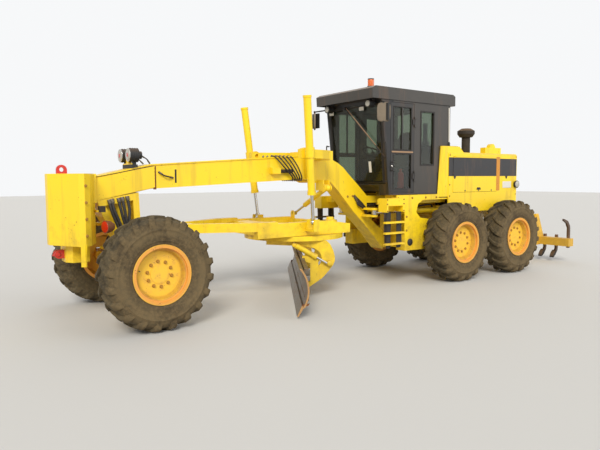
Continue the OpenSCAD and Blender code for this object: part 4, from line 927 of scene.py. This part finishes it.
def rounded(low, high, crown, count=18):
    """A pad: each side of a box bulges out by the crown, most in its middle, and the edges draw in."""
    low, high = np.array(low), np.array(high)
    u, v = np.meshgrid(np.linspace(-1, 1, count), np.linspace(-1, 1, count), indexing="ij")
    sides = []
    for axis in range(3):
        for sign in (-1, 1):
            side = np.stack([np.full_like(u, sign), u * sign, v], -1)
            sides.append(np.roll(side, axis, -1).reshape(-1, 3))
    cube = np.concatenate(sides)
    b, c = cube[:, [1, 2, 0]], cube[:, [2, 0, 1]]
    soft = cube * np.sqrt(np.clip(1 - b ** 8 / 2 - c ** 8 / 2 + b ** 8 * c ** 8 / 3, 0, 1))
    swell = 1 + crown * (1 - b ** 2) * (1 - c ** 2) * np.abs(cube)
    faces = many_faces([grid_faces(count, count, round_columns=False)], 6, count * count)
    return merged((low + high) / 2 + soft * swell * (high - low) / 2, faces)


def merged(points, faces, distance=0.01):
    """Joins the points that lie on each other, so that a skin made of patches closes."""
    key = np.round(points / distance).astype(np.int64)
    _, first, back = np.unique(key, axis=0, return_index=True, return_inverse=True)
    return points[first], [back.reshape(-1)[f] for f in faces]


def make_interior():
    """Seat on its pedestal, console with wheel and levers, and the extinguisher."""
    piece = Piece("cab_controls", "rear_unit")
    piece.box((-5080, -4820), (-150, 150), (FLOOR, FLOOR + 270), PLASTIC)
    bellows = [[2 + 30 * k, 170 - 12 * (k % 2)] for k in range(11)]
    piece.turn(bellows, (-4950, 0, FLOOR + 20), UP, RUBBER)
    piece.box((-5150, -4720), (-200, 200), (FLOOR + 300, FLOOR + 330), PLASTIC)
    piece.sheet([[-135, 0], [0, 0], [-15, 620], [-105, 600]], (-4325, -90, FLOOR), (0, 180, 0), PLASTIC)
    lever = [[0, 6], [150, 6], [155, 13], [180, 14.5], [188, 8]]
    for _ in piece.sides():
        piece.box((-4420, -4330), (60, 230), (FLOOR + 540, FLOOR + 590), PLASTIC)
        for k in range(4):
            piece.turn(lever, (-4390, 112 + 32 * k, FLOOR + 575), UP, PLASTIC, 14)
    shaft = np.array([-math.sin(math.radians(28)), 0, math.cos(math.radians(28))])
    hub = from_axle([-4420, 0, FLOOR + 640])
    wheel = hub + 190 * circle_round(shaft, 40)
    piece.add(tube(np.vstack([wheel, wheel[:1]]), 14.5, 10, 1), RUBBER)
    u, v = across(shaft)
    for k in range(3):
        spoke = np.cos(k * 2.094) * u + np.sin(k * 2.094) * v
        piece.add(tube([hub + spoke * 30, hub + spoke * 185], 8, 8, 1), PLASTIC)
    piece.add(turned([[-100, 32], [-20, 36], [12, 40], [18, 30]], hub, shaft, 24), PLASTIC)
    foot = np.array([-4500, 575, FLOOR + 20])
    bottle = [[0, 50], [10, 56], [240, 56], [270, 45], [285, 22], [310, 20], [315, 28], [335, 26]]
    piece.turn(bottle, foot, UP, RED_PAINT)
    spout = [[0, 0, 310], [30, 0, 340], [70, 0, 300], [62, 0, 120]]
    piece.pipe(foot + spout, 7, RUBBER, 8, 6)
    piece.done(replaces=["cab_interior"], bevel=3)
    cushion = Piece("seat_cushion", "rear_unit")
    low, high = from_axle([[-5165, -240, FLOOR + 330], [-4705, 240, FLOOR + 438]])
    cushion.add(rounded(low, high, 0.1), SEAT_CLOTH)
    cushion.done(sharp=80)
    rest = Piece("seat_back", "rear_unit")
    points, faces = rounded((-45, -230, -280), (45, 230, 280), 0.12)
    c, s = math.cos(math.radians(10)), math.sin(math.radians(10))
    turn = np.array([[c, 0, -s], [0, 1, 0], [s, 0, c]])
    rest.add((points @ turn.T + from_axle([-5180, 0, FLOOR + 720]), faces), SEAT_CLOTH)
    rest.done(sharp=80)


# Rear unit
def make_steps():
    """Teeth on the rungs; clamps, bolts and the rubber straps that carry them."""
    piece = Piece("step_treads", "rear_unit")
    tooth = turned([[-26, 4.5], [-20, 6], [20, 6], [26, 4.5]], (0, 0, 0), OUT, 6)
    strap = [[-50, 1235], [50, 1235], [48, 670], [36, 650], [-36, 650], [-48, 670]]
    for _ in piece.sides():
        for z in (731, 906, 1076):
            teeth = piece.at([[x, 897, z] for x in np.linspace(-4235, -3835, 17)])
            piece.add(repeated(tooth, teeth), YELLOW)
            clamps = [[x + dx, 848.5, z - 13] for x in (-4200, -3900) for dx in (-20, 20)]
            piece.heads(clamps, (18, 8), ZINC, (0, -1, 0))
        plates = [[x, 930.5, z] for x in (-4220, -3855) for z in (1250, 1360, 1430)]
        piece.heads(plates, (20, 10), NUT_PAINT)
        for x, strap_x in ((-4190, -4160), (-3880, -3930)):
            piece.box((x - 30, x + 30), (846, 870), (1200, 1225), ZINC)
            piece.sheet(strap, (strap_x, 868, 0), (0, 12, 0), RUBBER)
    piece.done(bevel=1.5)


def make_hinge_lines():
    """Hoses on both sides of the articulation, bolts and a cap on the hanging side plates."""
    piece = Piece("rear_frame_lines", "rear_unit")
    goose = Piece("gooseneck_lines", "front_unit")
    plate_bolts = ((-4270, 1440), (-4600, 1440), (-4930, 1440), (-5200, 1440), (-4470, 1130), (-4470, 900),
                   (-5050, 950))
    for _ in piece.sides():
        for k in range(3):
            y = 270 + 50 * k
            piece.hose([[-4950, y, 1340 - 30 * k], [-4850, y + 50, 1360], [-4700, y + 60, 1310],
                        [-4620, y, 1335]])
        piece.hose([[-5420, 470, 1260], [-5300, 530, 1300], [-5050, 530, 1290], [-4920, 450, 1250]], 13)
        piece.heads([[x, 757.5, z] for x, z in plate_bolts], (28, 12), NUT_PAINT)
        piece.turn([[0, 60], [10, 60], [20, 45], [30, 20]], (-4550, 757.5, 700), OUT, PLASTIC)
    for _ in goose.sides():
        for k in range(4):
            y = 200 + 4 * k
            goose.hose([[-3840 - 20 * k, 160, 1470 - 30 * k], [-3900, y - 20, 1420 - 30 * k],
                        [-4000, y - 10, 1330 - 20 * k], [-4100, 160, 1250 - 20 * k]], 17)
    piece.done()
    goose.done()


def make_tandems():
    """Bolts round the hubs and along the edges of the tandem cases."""
    piece = Piece("tandem_bolts", "rear_unit")
    y = 793.5
    for _ in piece.sides():
        for x in (-5425, -6975):
            piece.heads([x, y, TYRE_R] + ring_of(12, 170), (24, 12), NUT_PAINT)
        edges = [[x, y, z] for x in np.linspace(-6600, -5800, 7) for z in (510, 930)]
        piece.heads(edges, (22, 12), NUT_PAINT)
    piece.done()


def make_hood_trim():
    """Strips painted darker orange as the shade in the recessed channels, blank labels, latches, lamps, bolts
    and lifting eyes of the hood; its grille and caps.
    """
    piece = Piece("hood_trim", "rear_unit")
    y, outer = 769, 777
    tip = [[-35, 0], [35, 0], [12, -50], [-12, -50]]
    lamp, tail = (-7490, 790, 1640), (-7532, 600, 1240)
    a = np.linspace(0, np.pi, 12)
    arc = np.stack([40 * np.cos(a), 0 * a, 50 * np.sin(a) + 4], -1)
    for _ in piece.sides():
        # The recessed channel: a strip whose darker orange is painted shade
        piece.box((-6975, -6870), (y, outer), (1530, 2160), SHADED_CHANNEL)
        piece.box((-7345, -7075), (y, outer), (1575, 1700), WHITE)
        for x in (-5660, -7190):
            piece.sheet(tip, (x, y, 1802), (0, outer - y, 0), PLASTIC)
        piece.turn([[-40, 50], [-5, 70], [20, 74], [28, 70]], lamp, OUT, PLASTIC, 28)
        piece.turn([[10, 64], [30, 62], [38, 40], [40, 14]], lamp, OUT, CLEAR_LENS, 28)
        edge = [[x, 770.5, z] for x in (-5530, -7500) for z in (1250, 1450, 1650, 2170)]
        piece.heads(edge, (20, 10), NUT_PAINT)
        piece.turn([[0, 50], [20, 52], [26, 46]], tail, BACK, PLASTIC)
        piece.turn([[12, 44], [30, 42], [38, 26], [40, 10]], tail, BACK, RED_LENS)
        piece.pipe([-7300, 350, 2225] + arc, 9, YELLOW, 10, 2)
    piece.box((-5800, -5360), (-720, 720), (2325.5, 2333), RUBBER)
    fin = block((-7505, -655, -2.5), (-7500, 655, 2.5))
    piece.add(repeated(fin, from_axle([[0, 0, z] for z in np.linspace(1340, 2070, 40)])), DARK)
    piece.box((-7500, -7490), (-660, 660), (1330, 2080), DARK)
    piece.turn([[0, 50], [12, 52], [30, 50], [40, 30]], (-6300, 0, 2225.5), UP, PLASTIC, 28)
    piece.turn([[0, 47], [20, 49], [35, 47]], (-6080, -300, 2790), UP, ZINC)
    piece.done(bevel=1.5)
    for side, s in SIDES:
        trim = Piece("hood_door_%s_trim" % side, "hood_door_%s" % side, s)
        trim.sheet([[-60, -20], [60, -20], [45, 22], [-45, 22]], (-6340, 774.5, 1572), (0, 6, 0), PLASTIC)
        for x in (-5950, -6340, -6720):
            trim.turn([[0, 14], [6, 14], [9, 10]], (x, 774.5, 1540), OUT, ZINC, 16)
        trim.done(bevel=1)


def make_ripper_trim():
    """Pin caps of the ripper's links, a shoe on each shank but the one turned up, and the shanks' pins."""
    piece = Piece("ripper_pins", "rear_unit")
    for _ in piece.sides():
        for z in (380, 940):
            piece.turn([[0, 40], [12, 40], [18, 30]], (-7650, 520, z), OUT, ZINC)
    piece.done()
    points = Piece("ripper_points", "ripper_beam")
    shank_y = -1040 + 260 * np.arange(9)
    outline = [[-45, 90], [20, 50], [70, -30], [62, -62], [30, -50], [-30, -5], [-75, 60]]
    shoe = plate(outline, (0, -40, 0), (0, 80, 0), AHEAD, UP)
    points.add(repeated(shoe, from_axle([[-8915, y, 140] for y in shank_y[:8]])), DARK)
    pins = [[-9030, y - 50.5, 455] for y in shank_y]
    points.heads(pins, (40, 12), ZINC, (0, -1, 0))
    points.done()


make_camera()
make_light()
make_floor()
dress_nodes()
make_wheels()
make_nose()
make_headlamps()
make_beam_trim()
make_drawbar_trim()
make_blade()
make_axle_trim()
make_cab_trim()
make_doors()
make_interior()
make_steps()
make_hinge_lines()
make_tandems()
make_hood_trim()
make_ripper_trim()

bpy.context.scene.view_settings.view_transform = "Standard"
